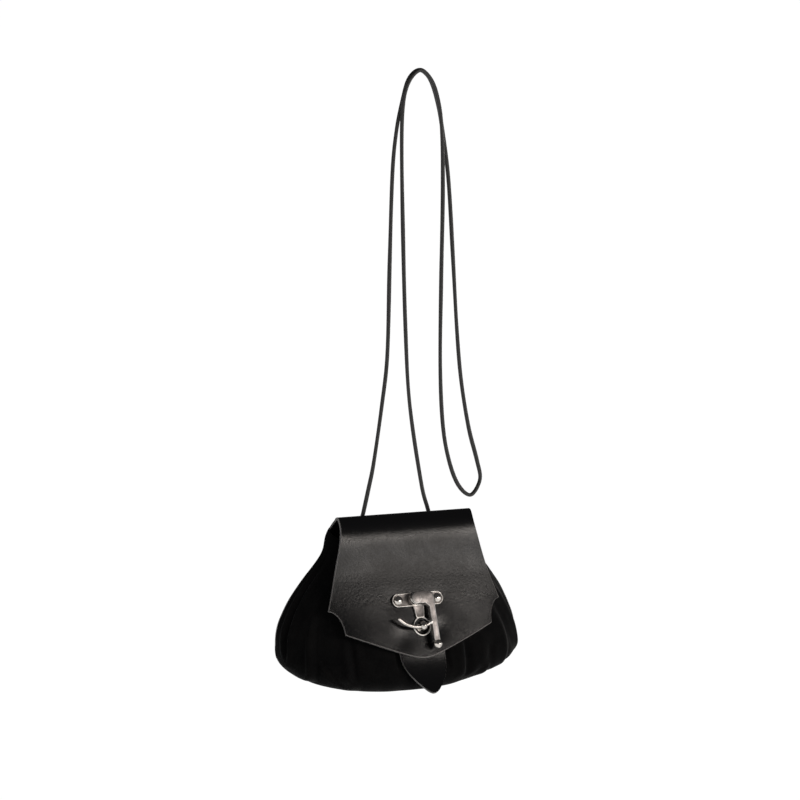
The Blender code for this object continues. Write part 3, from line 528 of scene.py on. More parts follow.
def pouch_surface(turn, place):
    """A point of the pouch's outer face: turn from -1 to 1 across, place from 0 to 1 down."""
    middle = SEAM_DROP * along(POUCH_LINE, place, 1)
    side = SEAM_SIDE_DROP * along(POUCH_LINE, place, 2)
    out = POUCH_DEPTH * max(along(POUCH_LINE, place, 3), 0.0)
    x, drop = rounded_row(turn, back_half(side), side, middle)
    angle = turn * math.pi / 2
    lift = pleat_lift(turn, place)
    for mouth, foot, height, width, begins, ends in POUCH_FOLDS:
        across = (turn - mouth - (foot - mouth) * place) / width
        reach = smooth(place, begins, begins + 0.2) * (1 - smooth(place, ends - 0.25, ends))
        ridge = math.exp(-4 * across * across) - 0.7 * math.exp(-6 * (across - 0.8) ** 2)
        lift += FOLD_SHOWN * FOLD_LIFT * height * reach * ridge
    x += lift * math.sin(angle)
    out = out * math.cos(angle) + lift * math.cos(angle) ** 2
    y = back_face(drop) - LEATHER - out
    return x, min(max(y, cover_face(x, drop)), panel_inner(drop) - GAP), drop


def clasp_matrix():
    """The clasp's frame: X to the right, Y up along the flap, Z straight out of it."""
    tilt = math.atan(FLAP_SLOPE)
    right = Vector((1, 0, 0))
    up = Vector((0, math.sin(tilt), math.cos(tilt)))
    out = right.cross(up)
    matrix = Matrix((right, up, out)).transposed().to_4x4()
    matrix.translation = at(0, -flap_out(RIVET_DROP), RIVET_DROP)
    return matrix


def lever_base():
    """The height of the hub's foot above the flap: just clear of the plate."""
    return GAP + PLATE_THICKNESS + GAP


def arm_middle():
    """The height of the middle of the lever's arm above the flap."""
    return lever_base() + HUB_HEIGHT - ARM_THICKNESS / 2 - ARM_SETBACK


def knot_y():
    """Knots sit between the back panel and the flap, just inside the panel."""
    return back_face(KNOT_DROP) - LEATHER - KNOT_CLEAR - KNOT_RADIUS


def smooth_line(points, count):
    """Points on a smooth curve through the given ones, closer together where it bends."""
    fine = []
    for index in range(len(points) - 1):
        before = points[max(index - 1, 0)]
        start, end = points[index], points[index + 1]
        after = points[min(index + 2, len(points) - 1)]
        pairs = ((before, start), (start, end), (end, after))
        spans = [max((b - a).length, 1e-9) ** 0.5 for a, b in pairs]
        chord = (end - start) / spans[1]
        slope_in = (end - before) / (spans[0] + spans[1]) if index else chord
        last = index == len(points) - 2
        slope_out = chord if last else (after - start) / (spans[1] + spans[2])
        for step in range(CORD_FINE_STEPS):
            share = step / CORD_FINE_STEPS
            fine.append(hermite(share, start, end, slope_in, slope_out, spans[1]))
    fine.append(points[-1])
    lengths = [0.0]
    for index in range(1, len(fine)):
        step = fine[index] - fine[index - 1]
        turn = step.angle(fine[index] - fine[max(index - 2, 0)], 0.0) * 2 if index > 1 else 0.0
        lengths.append(lengths[-1] + step.length + CORD_BEND_WEIGHT * turn)
    result, index = [], 0
    for step in range(count):
        target = lengths[-1] * step / (count - 1)
        while index < len(fine) - 2 and lengths[index + 1] < target:
            index += 1
        share = (target - lengths[index]) / (lengths[index + 1] - lengths[index])
        result.append(fine[index].lerp(fine[index + 1], min(share, 1.0)))
    return result


def cord_hole(x):
    """The middle of one of the cord's two holes in the back panel."""
    return at(x, back_face(CORD_HOLE_DROP) - LEATHER / 2, CORD_HOLE_DROP)


def cord_line():
    """The cord's whole line: from one hole over its support twice to the other."""
    route = [Vector(point) * MM for point in CORD_ROUTE]
    ends = []
    for x in CORD_HOLES_X:
        hole = cord_hole(x)
        knot = at(x, knot_y(), KNOT_DROP)
        above = at(x, back_face(CORD_ABOVE_DROP) + CORD_CLEAR, CORD_ABOVE_DROP)
        stop = knot + (hole - knot).normalized() * (KNOT_RADIUS + GAP)
        ends.append([stop, hole, above])
    return smooth_line(ends[0] + route + list(reversed(ends[1])), CORD_POINTS)


# Materials

class Socket:
    """An output of a material's node. Arithmetic on it adds Math nodes to the same material."""

    def __init__(self, tree, output):
        self.tree = tree
        self.output = output

    def add(self, kind, settings, sockets, output=0):
        """Adds a node of a kind, with its settings first and then the values or links of its sockets."""
        node = self.tree.nodes.new("ShaderNode" + kind)
        for name, value in settings.items():
            setattr(node, name, value)
        for name, value in sockets.items():
            if isinstance(value, Socket):
                self.tree.links.new(value.output, node.inputs[name])
            else:
                node.inputs[name].default_value = value
        return Socket(self.tree, node.outputs[output])

    def math(self, operation, first, second):
        return self.add("Math", {"operation": operation}, {0: first, 1: second})

    def __add__(self, other):
        return self.math("ADD", self, other)

    def __radd__(self, other):
        return self.math("ADD", other, self)

    def __mul__(self, other):
        return self.math("MULTIPLY", self, other)


def start_material(name, color, roughness, metallic=0.0, **constants):
    """A new material, its Principled shader and the piece's own coordinates."""
    material = bpy.data.materials.new(name)
    material.use_nodes = True
    tree = material.node_tree
    shader = tree.nodes["Principled BSDF"]
    shader.inputs["Base Color"].default_value = (*color, 1)
    shader.inputs["Roughness"].default_value = roughness
    shader.inputs["Metallic"].default_value = metallic
    for socket, value in constants.items():
        shader.inputs[socket.replace("_", " ")].default_value = value
    coordinates = tree.nodes.new("ShaderNodeTexCoord")
    return material, shader, Socket(tree, coordinates.outputs["Object"])


def feed(shader, name, socket):
    socket.tree.links.new(socket.output, shader.inputs[name])


def noise(place, scale, detail, roughness, distortion=0.0):
    sockets = {"Vector": place, "Scale": scale, "Detail": detail, "Roughness": roughness,
               "Distortion": distortion}
    return place.add("TexNoise", {}, sockets)


def spread(value, low, high):
    """0 at low, 1 at high, clamped, and an S curve between them."""
    sockets = {"Value": value, "From Min": low, "From Max": high}
    return value.add("MapRange", {"interpolation_type": "SMOOTHSTEP"}, sockets)


def mixed(factor, first, second):
    """A colour between two, by a factor."""
    colors = {0: factor, 6: (*first, 1), 7: (*second, 1)}
    return factor.add("Mix", {"data_type": "RGBA"}, colors, output=2)


def bump(height, strength, distance):
    return height.add("Bump", {}, {"Height": height, "Strength": strength, "Distance": distance})


def height_of(place):
    """The Z of a place."""
    return place.add("SeparateXYZ", {}, {0: place}, output=2)


def smooth_leather():
    material, shader, place = start_material("smooth_leather", (0.02, 0.019, 0.02), 0.4)
    patches = noise(place, 42.0, 5.0, 0.62, 0.4)
    streaks = noise(place, 160.0, 4.0, 0.6)
    pebbles = noise(place, 560.0, 4.0, 0.6)
    worn = spread(patches * 0.5 + streaks * 0.3 + pebbles * 0.2, 0.36, 0.66)
    height = height_of(place)
    # A band across the upper flap, rougher and more grained, whose colour also carries a painted highlight
    rubbed_and_painted_highlight = spread(height, *RUBBED_AND_HIGHLIGHT_LOW) * spread(height, *RUBBED_AND_HIGHLIGHT_HIGH)
    # Painted highlight: in the band the base colour turns a lighter, mottled warm grey-brown, standing in
    # for the soft light's reflection on the upper flap
    feed(shader, "Base Color", mixed(worn * rubbed_and_painted_highlight, (0.006, 0.006, 0.0068), (0.026, 0.0225, 0.02)))
    feed(shader, "Roughness", 0.17 + rubbed_and_painted_highlight * (0.15 + worn * 0.13))
    pores = place.add("TexVoronoi", {"feature": "DISTANCE_TO_EDGE"}, {"Vector": place, "Scale": 1150.0})
    grain = noise(place, 1700.0, 3.0, 0.6)
    waves = noise(place, 24.0, 2.0, 0.5)
    coarse = (pebbles * 1.25 + streaks * 0.45 + grain * 0.08) * (0.13 + rubbed_and_painted_highlight * 0.67)
    relief = spread(pores, 0.0, 0.12) * 0.03 + coarse + waves * 0.9
    feed(shader, "Normal", bump(relief, 0.35, 0.0006))
    return material


def cut_edge():
    material, shader, place = start_material("cut_edge", (0.1, 0.098, 0.095), 0.55)
    fibres = noise(place, 900.0, 4.0, 0.7)
    # Light grey fibres of the cut edge, made light enough to also paint in the bright line of light that
    # the edge catches
    tone = mixed(spread(fibres, 0.3, 0.7), (0.30, 0.29, 0.28), (0.6, 0.58, 0.56))
    feed(shader, "Base Color", tone)
    feed(shader, "Normal", bump(fibres, 0.4, 0.0004))
    return material


def black_suede():
    material, shader, place = start_material("black_suede", (0.008, 0.008, 0.0082), 0.95,
                                             Specular_IOR_Level=0.08,
                                             Sheen_Weight=0.17, Sheen_Roughness=0.42)
    brushed = noise(place, 55.0, 5.0, 0.65, 0.6)
    nap = noise(place, 1300.0, 2.0, 0.7)
    shade = spread(brushed * 0.7 + nap * 0.3, 0.3, 0.72)
    feed(shader, "Base Color", mixed(shade, (0.0042, 0.0042, 0.0046), (0.0125, 0.0122, 0.0122)))
    feed(shader, "Normal", bump(nap * 0.6 + brushed * 1.2, 0.35, 0.0008))
    return material


def antique_metal(name, color, roughness, worn_roughness):
    material, shader, place = start_material(name, color, roughness, 1.0)
    stains = noise(place, 260.0, 5.0, 0.65, 0.3)
    fine = noise(place, 1500.0, 3.0, 0.6)
    tarnish = spread(stains, 0.35, 0.7)
    dull = tuple(0.62 * value for value in color)
    feed(shader, "Base Color", mixed(tarnish, color, dull))
    feed(shader, "Roughness", tarnish * (worn_roughness - roughness) + roughness)
    feed(shader, "Normal", bump(fine * 0.5 + stains, 0.07, 0.0002))
    return material


def leather_lace():
    material, shader, place = start_material("leather_lace", (0.035, 0.034, 0.033), 0.5)
    patches = noise(place, 180.0, 4.0, 0.6)
    grain = noise(place, 1400.0, 3.0, 0.65)
    tone = mixed(spread(patches, 0.3, 0.7), (0.020, 0.0195, 0.019), (0.052, 0.050, 0.048))
    feed(shader, "Base Color", tone)
    feed(shader, "Roughness", 0.42 + patches * 0.22)
    feed(shader, "Normal", bump(grain + patches * 2.0, 0.35, 0.0005))
    return material


def waxed_thread():
    material, shader, place = start_material("waxed_thread", (0.02, 0.02, 0.02), 0.6)
    twist = noise(place, 2400.0, 2.0, 0.5)
    feed(shader, "Base Color", mixed(twist, (0.012, 0.012, 0.012), (0.035, 0.034, 0.033)))
    feed(shader, "Normal", bump(twist, 0.4, 0.0003))
    return material


# Working on pieces

def deselect():
    for thing in bpy.context.selected_objects:
        thing.select_set(False)


def make_active(piece):
    deselect()
    piece.select_set(True)
    bpy.context.view_layer.objects.active = piece


def named(name):
    """The primitive that was just added, with its name."""
    piece = bpy.context.object
    piece.name = name
    piece.data.name = name
    return piece


def start_edit(piece):
    make_active(piece)
    bpy.ops.object.mode_set(mode="EDIT")
    bpy.ops.mesh.select_all(action="DESELECT")


def end_edit():
    bpy.ops.mesh.select_all(action="SELECT")
    bpy.ops.mesh.remove_doubles(threshold=SAME_PLACE)
    bpy.ops.mesh.normals_make_consistent(inside=False)
    bpy.ops.object.mode_set(mode="OBJECT")


def pick(piece, mode, test):
    """Selects the vertices, edges or faces of the piece in edit mode that pass a test."""
    bpy.ops.mesh.select_mode(type=mode)
    bpy.ops.mesh.select_all(action="DESELECT")
    shape = bmesh.from_edit_mesh(piece.data)
    things = {"VERT": shape.verts, "EDGE": shape.edges, "FACE": shape.faces}[mode]
    for thing in things:
        if test(thing):
            thing.select_set(True)
    shape.select_flush_mode()
    bmesh.update_edit_mesh(piece.data)


def apply_modifiers(piece):
    make_active(piece)
    for modifier in list(piece.modifiers):
        bpy.ops.object.modifier_apply(modifier=modifier.name)


def smooth_by_angle(piece, angle):
    """Shades the piece smooth except over edges that turn by more than an angle."""
    make_active(piece)
    bpy.ops.object.shade_smooth_by_angle(angle=math.radians(angle))


def soften_edges(piece, width, segments=3):
    """Rounds the sharp edges and shades the rest smooth."""
    rounding = piece.modifiers.new("Rounding", "BEVEL")
    rounding.width = width
    rounding.segments = segments
    rounding.limit_method = "ANGLE"
    rounding.angle_limit = math.radians(30)
    apply_modifiers(piece)
    smooth_by_angle(piece, 35)


def set_in_place(piece, matrix):
    """Puts the piece's place into its mesh, so that its object stays at the origin."""
    piece.data.transform(matrix @ piece.matrix_world)
    piece.matrix_world = Matrix.Identity(4)


def finish_piece(piece, material, body):
    piece.data.materials.clear()
    piece.data.materials.append(material)
    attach(piece, body)


def polish_faces(piece, material, test):
    """Gives the faces that pass a test a second, brighter finish, as edges get from handling."""
    piece.data.materials.append(material)
    for face in piece.data.polygons:
        if test(face):
            face.material_index = 1


def extrude_by(x, y, z):
    bpy.ops.mesh.extrude_region_move(TRANSFORM_OT_translate={"value": (x, y, z)})


def extrude_rings(profile):
    """Extrudes the selected circle ring by ring through a (radius, height) profile."""
    for (radius, height), (next_radius, next_height) in zip(profile, profile[1:]):
        extrude_by(0, 0, next_height - height)
        share = next_radius / radius
        bpy.ops.transform.resize(value=(share, share, 1), center_override=(0, 0, next_height))


def drawn_out(name, profile, sides=56):
    """A round piece on the Z axis, extruded through its (radius, height) profile."""
    deselect()
    radius, height = profile[0]
    bpy.ops.mesh.primitive_circle_add(vertices=sides, radius=radius, fill_type="NGON",
                                      location=(0, 0, height))
    piece = named(name)
    set_in_place(piece, Matrix.Identity(4))
    start_edit(piece)
    bpy.ops.mesh.select_all(action="SELECT")
    extrude_rings(profile)
    end_edit()
    return piece


def sheet_piece(name, rows):
    """A sheet of quads through rows of points, each row with as many points as the others."""
    mesh = bpy.data.meshes.new(name)
    count = len(rows[0])
    points = [point for row in rows for point in row]
    faces = []
    for row in range(len(rows) - 1):
        for column in range(count - 1):
            corner = row * count + column
            faces.append((corner, corner + 1, corner + count + 1, corner + count))
    mesh.from_pydata(points, [], faces)
    piece = bpy.data.objects.new(name, mesh)
    bpy.context.scene.collection.objects.link(piece)
    return piece


def thicken_sheet(piece, thickness, materials, rounding, levels, even=True):
    """Gives a sheet its wall and its cut edge, whose corners are a little rounded."""
    for material in materials:
        piece.data.materials.append(material)
    wall = piece.modifiers.new("Wall", "SOLIDIFY")
    wall.thickness = thickness
    wall.offset = -1
    wall.use_even_offset = even
    wall.use_rim = True
    wall.material_offset_rim = len(materials) - 1
    if rounding:
        edge = piece.modifiers.new("Edge", "BEVEL")
        edge.width = rounding
        edge.segments = 2
        edge.material = len(materials) - 1
        edge.limit_method = "ANGLE"
        edge.angle_limit = math.radians(50)
    if levels:
        fine = piece.modifiers.new("Fine", "SUBSURF")
        fine.levels = levels
        fine.render_levels = levels
    apply_modifiers(piece)
    bpy.ops.object.shade_smooth()


def cut_away(piece, cutter):
    """Cuts a tool out of a piece and deletes the tool."""
    hole = piece.modifiers.new("Hole", "BOOLEAN")
    hole.operation = "DIFFERENCE"
    hole.solver = "EXACT"
    hole.object = cutter
    apply_modifiers(piece)
    bpy.data.objects.remove(cutter)


def round_tool(name, start, end, radius):
    """A round cutting tool between two points."""
    deselect()
    middle = (start + end) / 2
    turn = (end - start).to_track_quat("Z", "Y").to_euler()
    bpy.ops.mesh.primitive_cylinder_add(vertices=40, radius=radius, depth=(end - start).length,
                                        location=middle, rotation=turn)
    tool = named(name)
    set_in_place(tool, Matrix.Identity(4))
    return tool


# Camera, cord and knots

def aimed(name, data, target, azimuth, elevation, distance):
    """A camera or light that faces a target from an azimuth right of the front and an elevation."""
    turn, rise = math.radians(azimuth), math.radians(elevation)
    towards = Vector((math.sin(turn) * math.cos(rise), -math.cos(turn) * math.cos(rise), math.sin(rise)))
    thing = bpy.data.objects.new(name, data)
    bpy.context.scene.collection.objects.link(thing)
    thing.location = Vector(target) + towards * distance
    thing.rotation_euler = (-towards).to_track_quat("-Z", "Y").to_euler()
    return thing


def make_camera():
    data = bpy.data.cameras.new("camera")
    data.lens = CAMERA_LENS
    data.sensor_width = CAMERA_SENSOR
    bpy.context.scene.camera = aimed("camera", data, CAMERA_TARGET, -CAMERA_AZIMUTH, CAMERA_ELEVATION,
                                     CAMERA_DISTANCE)


def tube_curve(name, points, radius, material, resolution=6, swell=None):
    """A round curve with closed ends along a line of points, whose thickness may swell a little."""
    curve = bpy.data.curves.new(name, "CURVE")
    curve.dimensions = "3D"
    curve.bevel_depth = radius
    curve.bevel_resolution = resolution
    curve.use_fill_caps = True
    spline = curve.splines.new("POLY")
    spline.points.add(len(points) - 1)
    spline.use_smooth = True
    for index, (spline_point, point) in enumerate(zip(spline.points, points)):
        spline_point.co = (*point, 1)
        spline_point.radius = swell(index / len(points)) if swell else 1.0
    curve.materials.append(material)
    piece = bpy.data.objects.new(name, curve)
    bpy.context.scene.collection.objects.link(piece)
    return piece


def lace_swell(share):
    """How the lace's thickness varies along it."""
    return 1.0 + 0.05 * math.sin(share * 61.0) + 0.04 * math.sin(share * 143.0 + 1.3)


def make_cord(lace):
    cord = tube_curve("cord_lace", cord_line(), CORD_DIAMETER / 2, lace, swell=lace_swell)
    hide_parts("strap_cord")
    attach(cord, "bag")
    knots = [make_knot(side, x, lace) for side, x in zip(("left", "right"), CORD_HOLES_X)]
    cord_hole(CORD_HOLES_X[0])


def make_knot(side, x, lace):
    """A small overhand knot in the end of the cord."""
    centre = at(x, knot_y(), KNOT_DROP)
    points = []
    for step in range(KNOT_POINTS + 1):
        turn = 2 * math.pi * step / KNOT_POINTS
        across = KNOT_RADIUS * 0.2 * (math.sin(turn) + 2 * math.sin(2 * turn))
        up = KNOT_RADIUS * 0.2 * (math.cos(turn) - 2 * math.cos(2 * turn))
        out = KNOT_RADIUS * 0.3 * math.sin(3 * turn)
        points.append(centre + Vector((across, -out, up)))
    knot = tube_curve("cord_knot_" + side, points, KNOT_STRAND_RADIUS, lace, resolution=4)
    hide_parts("knot_" + side)
    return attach(knot, "bag")


# Leather and suede

def flap_point(x, drop):
    """A point of the flap's outer face, with the hollows where the leather gives way."""
    y = flap_face(x, drop)
    for across, half_width, down, half_height, depth in FLAP_HOLLOWS:
        y += depth * MM * bell(x, across * MM, half_width * MM) * bell(drop, down * MM, half_height * MM)
    return at(x, y, drop)


def make_bag_leather(clasp, leather, edge):
    """The flap, the fold over the top and the back panel, from one sheet."""
    shares = spaced_shares(FLAP_STEPS, NOTCH_STEPS)
    rows = []
    for step in range(FLAP_ROWS):
        place = 1 - step / FLAP_ROWS
        row = []
        for share in shares:
            edge_x, edge_drop = flap_lower_edge(share)
            top_x = share * flap_half(BEND_DROP)
            drop = BEND_DROP + (edge_drop - BEND_DROP) * place
            x = top_x + (edge_x - top_x) * place
            if abs(share) == 1.0:
                x = math.copysign(flap_half(min(drop, FLAP_SIDE_DROP)), share)
            row.append(flap_point(x, drop))
        rows.append(row)
    fold_drop = fold_point(FOLD_TURN)[1]
    for step in range(BEND_ROWS):
        drop = BEND_DROP - (BEND_DROP - fold_drop) * step / BEND_ROWS
        rows.append([flap_point(share * flap_half(drop), drop) for share in shares])
    for step in range(FOLD_ROWS + 1):
        y, drop = fold_point(FOLD_TURN + (180 - 2 * FOLD_TURN) * step / FOLD_ROWS)
        rows.append([at(share * flap_half(drop), y, drop) for share in shares])
    for step in range(1, BACK_ROWS + 1):
        place = (step / BACK_ROWS) ** BACK_ROW_CROWDING
        side = fold_drop + (SEAM_SIDE_DROP - fold_drop) * place
        middle = fold_drop + (SEAM_DROP - PANEL_INSET - fold_drop) * place
        half = back_half(side) - PANEL_INSET
        row = []
        for share in shares:
            x, drop = rounded_row(share, half, side, middle)
            row.append(at(x, back_face(drop), drop))
        rows.append(row)
    piece = sheet_piece("bag_leather", rows)
    thicken_sheet(piece, LEATHER, (leather, edge), FLAP_EDGE_ROUNDING, 1)
    ring = clasp @ Vector((0, -RING_BELOW, 0))
    out = clasp.to_3x3() @ Vector((0, 0, TOOL_REACH))
    hole_radius = RING_RADIUS - RING_BAND - STUD_HOLE_INSIDE
    cut_away(piece, round_tool("stud_tool", ring - out, ring + out, hole_radius))
    for x in CORD_HOLES_X:
        hole = cord_hole(x)
        slant = (at(x, knot_y(), KNOT_DROP) - hole).normalized() * TOOL_REACH
        cut_away(piece, round_tool("cord_tool", hole - slant, hole + slant, CORD_DIAMETER / 2 + GAP))
    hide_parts("flap_back")
    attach(piece, "bag")


def spaced_shares(inner, outer):
    """Shares from -1 to 1, with evenly spaced steps inside the notches and closer ones across them."""
    half = [NOTCH_SHARE * step / inner for step in range(inner)]
    half += [NOTCH_SHARE + (1 - NOTCH_SHARE) * step / outer for step in range(outer + 1)]
    return [-share for share in reversed(half[1:])] + half


def make_suede(suede):
    rows = []
    for row in range(SUEDE_ROWS + 1):
        rows.append([at(*pouch_surface(-1 + 2 * column / SUEDE_STEPS, row / SUEDE_ROWS))
                     for column in range(SUEDE_STEPS + 1)])
    piece = sheet_piece("pouch_suede", rows)
    piece.data.flip_normals()
    thicken_sheet(piece, SUEDE, (suede,), 0, 0, even=False)
    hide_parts("suede_pouch")
    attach(piece, "bag")


def tongue_point(across, place):
    """A point of the tongue's outer face, across from its middle line and at a share of its length."""
    drop = TONGUE_TOP_DROP + (TONGUE_DROP - TONGUE_TOP_DROP) * place
    x = tongue_shift(drop) + across
    return at(x, tongue_face(x, drop), drop)


def make_tongue(leather, edge):
    rows = []
    shares = [math.sin(math.pi / 2 * (-1 + 2 * step / TONGUE_STEPS)) for step in range(TONGUE_STEPS + 1)]
    for step in range(TONGUE_ROWS + 1):
        place = TONGUE_TIP_START * step / TONGUE_ROWS
        half = TONGUE_HALF * along(TONGUE_WIDTHS, place)
        rows.append([tongue_point(share * half, place) for share in shares])
    half = TONGUE_HALF * along(TONGUE_WIDTHS, TONGUE_TIP_START)
    for step in range(1, TONGUE_TIP_ROWS + 1):
        reach = (1 - TONGUE_TIP_START) * TONGUE_TIP_REACH * step / TONGUE_TIP_ROWS
        rows.append([tongue_point(share * half, TONGUE_TIP_START + reach * max(1 - share * share, 0.02))
                     for share in shares])
    piece = sheet_piece("tongue_leather", rows)
    piece.data.flip_normals()
    thicken_sheet(piece, TONGUE_LEATHER, (leather, edge), TONGUE_EDGE_ROUNDING, 1)
    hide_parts("tongue")
    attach(piece, "bag")


def make_belt_strap(leather, edge):
    rows = []
    for step in range(LOOP_ROWS + 1):
        place = LOOP_HEIGHT * step / LOOP_ROWS
        near = min(place, LOOP_HEIGHT - place)
        drop = LOOP_TOP_DROP + place
        y = back_face(drop) + GAP + LEATHER + LOOP_ROOM * smooth(near, LOOP_TAB, LOOP_TAB + LOOP_RAMP)
        half = LOOP_WIDTH / 2 - LOOP_CORNER * (1 - smooth(near, -MM, LOOP_CORNER + MM))
        rows.append([at(half * (1 - 2 * column / LOOP_STEPS), y, drop) for column in range(LOOP_STEPS + 1)])
    piece = sheet_piece("belt_strap", rows)
    piece.data.flip_normals()
    thicken_sheet(piece, LEATHER, (leather, edge), LOOP_EDGE_ROUNDING, 1)
    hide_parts("belt_loop")
    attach(piece, "bag")


def make_stitches(thread):
    """Hand stitches round the back panel's edge and across the belt strap's tabs."""
    deselect()
    bpy.ops.mesh.primitive_cylinder_add(vertices=8, radius=STITCH_WIDTH / 2, depth=STITCH_LENGTH)
    stitch = named("stitch")
    start_edit(stitch)
    pick(stitch, "FACE", lambda face: abs(face.normal.z) > 0.9)
    bpy.ops.mesh.inset(thickness=STITCH_WIDTH * 0.2, depth=STITCH_WIDTH * 0.3, use_individual=True)
    end_edit()
    copies = []
    for start, end in stitch_places():
        copy = stitch.copy()
        copy.data = stitch.data.copy()
        bpy.context.scene.collection.objects.link(copy)
        turn = (end - start).to_track_quat("Z", "Y").to_matrix().to_4x4()
        copy.data.transform(Matrix.Translation((start + end) / 2) @ turn)
        copies.append(copy)
    bpy.data.objects.remove(stitch)
    make_active(copies[0])
    for copy in copies:
        copy.select_set(True)
    bpy.ops.object.join()
    row = named("back_stitches")
    bpy.ops.object.shade_smooth()
    finish_piece(row, thread, "bag")


def stitch_places():
    """The two ends of each stitch."""
    half = back_half(SEAM_SIDE_DROP) - SEAM_INSIDE
    foot = [rounded_row(-1 + 2 * step / 720, half, SEAM_SIDE_DROP, SEAM_DROP - SEAM_INSIDE)
            for step in range(721)]
    side = []
    for step in range(200):
        drop = STITCH_TOP_DROP + (SEAM_SIDE_DROP - STITCH_TOP_DROP) * step / 200
        side.append((back_half(drop) - SEAM_INSIDE, drop))
    outline = [(-x, drop) for x, drop in side] + foot + side[::-1]
    places = stitched([at(x, back_face(drop) + STITCH_LIFT, drop) for x, drop in outline])
    half = LOOP_WIDTH / 2 - TAB_SIDE_INSIDE
    for tab in (LOOP_TOP_DROP, LOOP_TOP_DROP + LOOP_HEIGHT - LOOP_TAB):
        for row in (TAB_INSIDE, LOOP_TAB - TAB_INSIDE):
            drop = tab + row
            y = back_face(drop) + GAP + LEATHER + STITCH_LIFT
            places += stitched([at(-half + 2 * half * step / 40, y, drop) for step in range(41)])
    return places


def stitched(points):
    """Stitches of one length along a line, with gaps between them."""
    places, travelled, start = [], 0.0, None
    for before, after in zip(points, points[1:]):
        phase = travelled % STITCH_STEP
        travelled += (after - before).length
        if phase < STITCH_LENGTH <= travelled % STITCH_STEP and start is not None:
            places.append((start, after))
            start = None
        elif travelled % STITCH_STEP < phase:
            start = after
    return places


# Clasp

def raise_rim():
    """Makes a plate of the flat face in edit mode, with a raised rim round a recess."""
    bpy.ops.mesh.select_all(action="SELECT")
    extrude_by(0, 0, PLATE_THICKNESS)
    bpy.ops.mesh.inset(thickness=EAR_RIM)
    extrude_by(0, 0, -RECESS)


def finish_plate(piece, rounding, clasp, antique, worn):
    """Ends a plate of the clasp: antique in its recess, worn on its rim, just above the flap."""
    end_edit()
    soften_edges(piece, rounding)
    finish_piece(piece, antique, "bag")
    polish_faces(piece, worn, lambda face: face.center.z > PLATE_THICKNESS - 0.6 * RECESS)
    set_in_place(piece, clasp @ Matrix.Translation((0, 0, GAP)))


def make_clasp_base(clasp, antique, worn):
    """Two ears in one plate with a raised rim, a neck with raised sides, and a round wire ring."""
    deselect()
    bpy.ops.mesh.primitive_circle_add(vertices=66, radius=EAR_RADIUS, fill_type="NGON")
    ears = named("clasp_ears")
    start_edit(ears)
    for side in (-1, 1):
        pick(ears, "VERT", lambda vertex: vertex.co.x * side > 0)
        bpy.ops.transform.translate(value=(side * RIVET_X, 0, 0))
    raise_rim()
    bpy.ops.transform.resize(value=EAR_SHRINK, center_override=(0, 0, 0))
    finish_plate(ears, EAR_ROUNDING, clasp, antique, worn)
    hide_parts("clasp_plate")

    top = -EAR_RADIUS + NECK_INTO_EARS
    foot = -RING_BELOW + RING_RADIUS - NECK_INTO_RING
    middle = (0, (top + foot) / 2, 0)
    deselect()
    bpy.ops.mesh.primitive_plane_add(size=1, location=middle)
    neck = named("clasp_neck")
    start_edit(neck)
    bpy.ops.mesh.select_all(action="SELECT")
    bpy.ops.transform.resize(value=(2 * NECK_TOP_HALF, top - foot, 1), center_override=middle)
    pick(neck, "VERT", lambda vertex: vertex.co.y < 0)
    bpy.ops.transform.resize(value=(NECK_FOOT_HALF / NECK_TOP_HALF, 1, 1), center_override=middle)
    raise_rim()
    finish_plate(neck, NECK_ROUNDING, clasp, antique, worn)

    deselect()
    bpy.ops.mesh.primitive_torus_add(major_radius=RING_RADIUS - RING_WIRE / 2,
                                     minor_radius=RING_WIRE / 2, major_segments=88, minor_segments=18)
    ring = named("clasp_ring")
    start_edit(ring)
    pick(ring, "VERT", lambda vertex: vertex.co.z < -RING_WIRE * 0.3)
    bpy.ops.transform.resize(value=(1, 1, 0), center_override=(0, 0, -RING_WIRE * 0.46))
    end_edit()
    bpy.ops.object.shade_smooth()
    place = (RING_SHIFT_X, RING_SHIFT_Y - RING_BELOW, GAP + RING_WIRE / 2)
    set_in_place(ring, clasp @ Matrix.Translation(place))
    finish_piece(ring, worn, "bag")


def dome_profile(radius, height, base, steps):
    """The (radius, height) points of a low dome above a base, from its rim to its top."""
    points = []
    for step in range(steps + 1):
        turn = math.pi / 2 * step / steps
        points.append((max(radius * math.cos(turn), radius * 0.03), base + height * math.sin(turn)))
    return points


def make_rivet(side, clasp, polished):
    """A domed rivet head in its ear, and the flat head behind the flap."""
    base = GAP + PLATE_THICKNESS - RECESS + 0.1 * MM
    back = -LEATHER - GAP
    back_radius = RIVET_HEAD_RADIUS * 0.9
    profile = [(back_radius - 0.3 * MM, back - RIVET_BACK_HEIGHT),
               (back_radius, back - RIVET_BACK_HEIGHT + 0.3 * MM), (back_radius, back),
               (RIVET_SHANK_RADIUS, back), (RIVET_SHANK_RADIUS, base), (RIVET_HEAD_RADIUS - 0.1 * MM, base)]
    profile += dome_profile(RIVET_HEAD_RADIUS, RIVET_HEAD_HEIGHT + RECESS, base + 0.15 * MM, 12)
    rivet = drawn_out("rivet_head_" + ("left" if side < 0 else "right"), profile)
    smooth_by_angle(rivet, 40)
    set_in_place(rivet, clasp @ Matrix.Translation((side * RIVET_X, 0, 0)))
    finish_piece(rivet, polished, "bag")
    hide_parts("rivet_left" if side < 0 else "rivet_right")


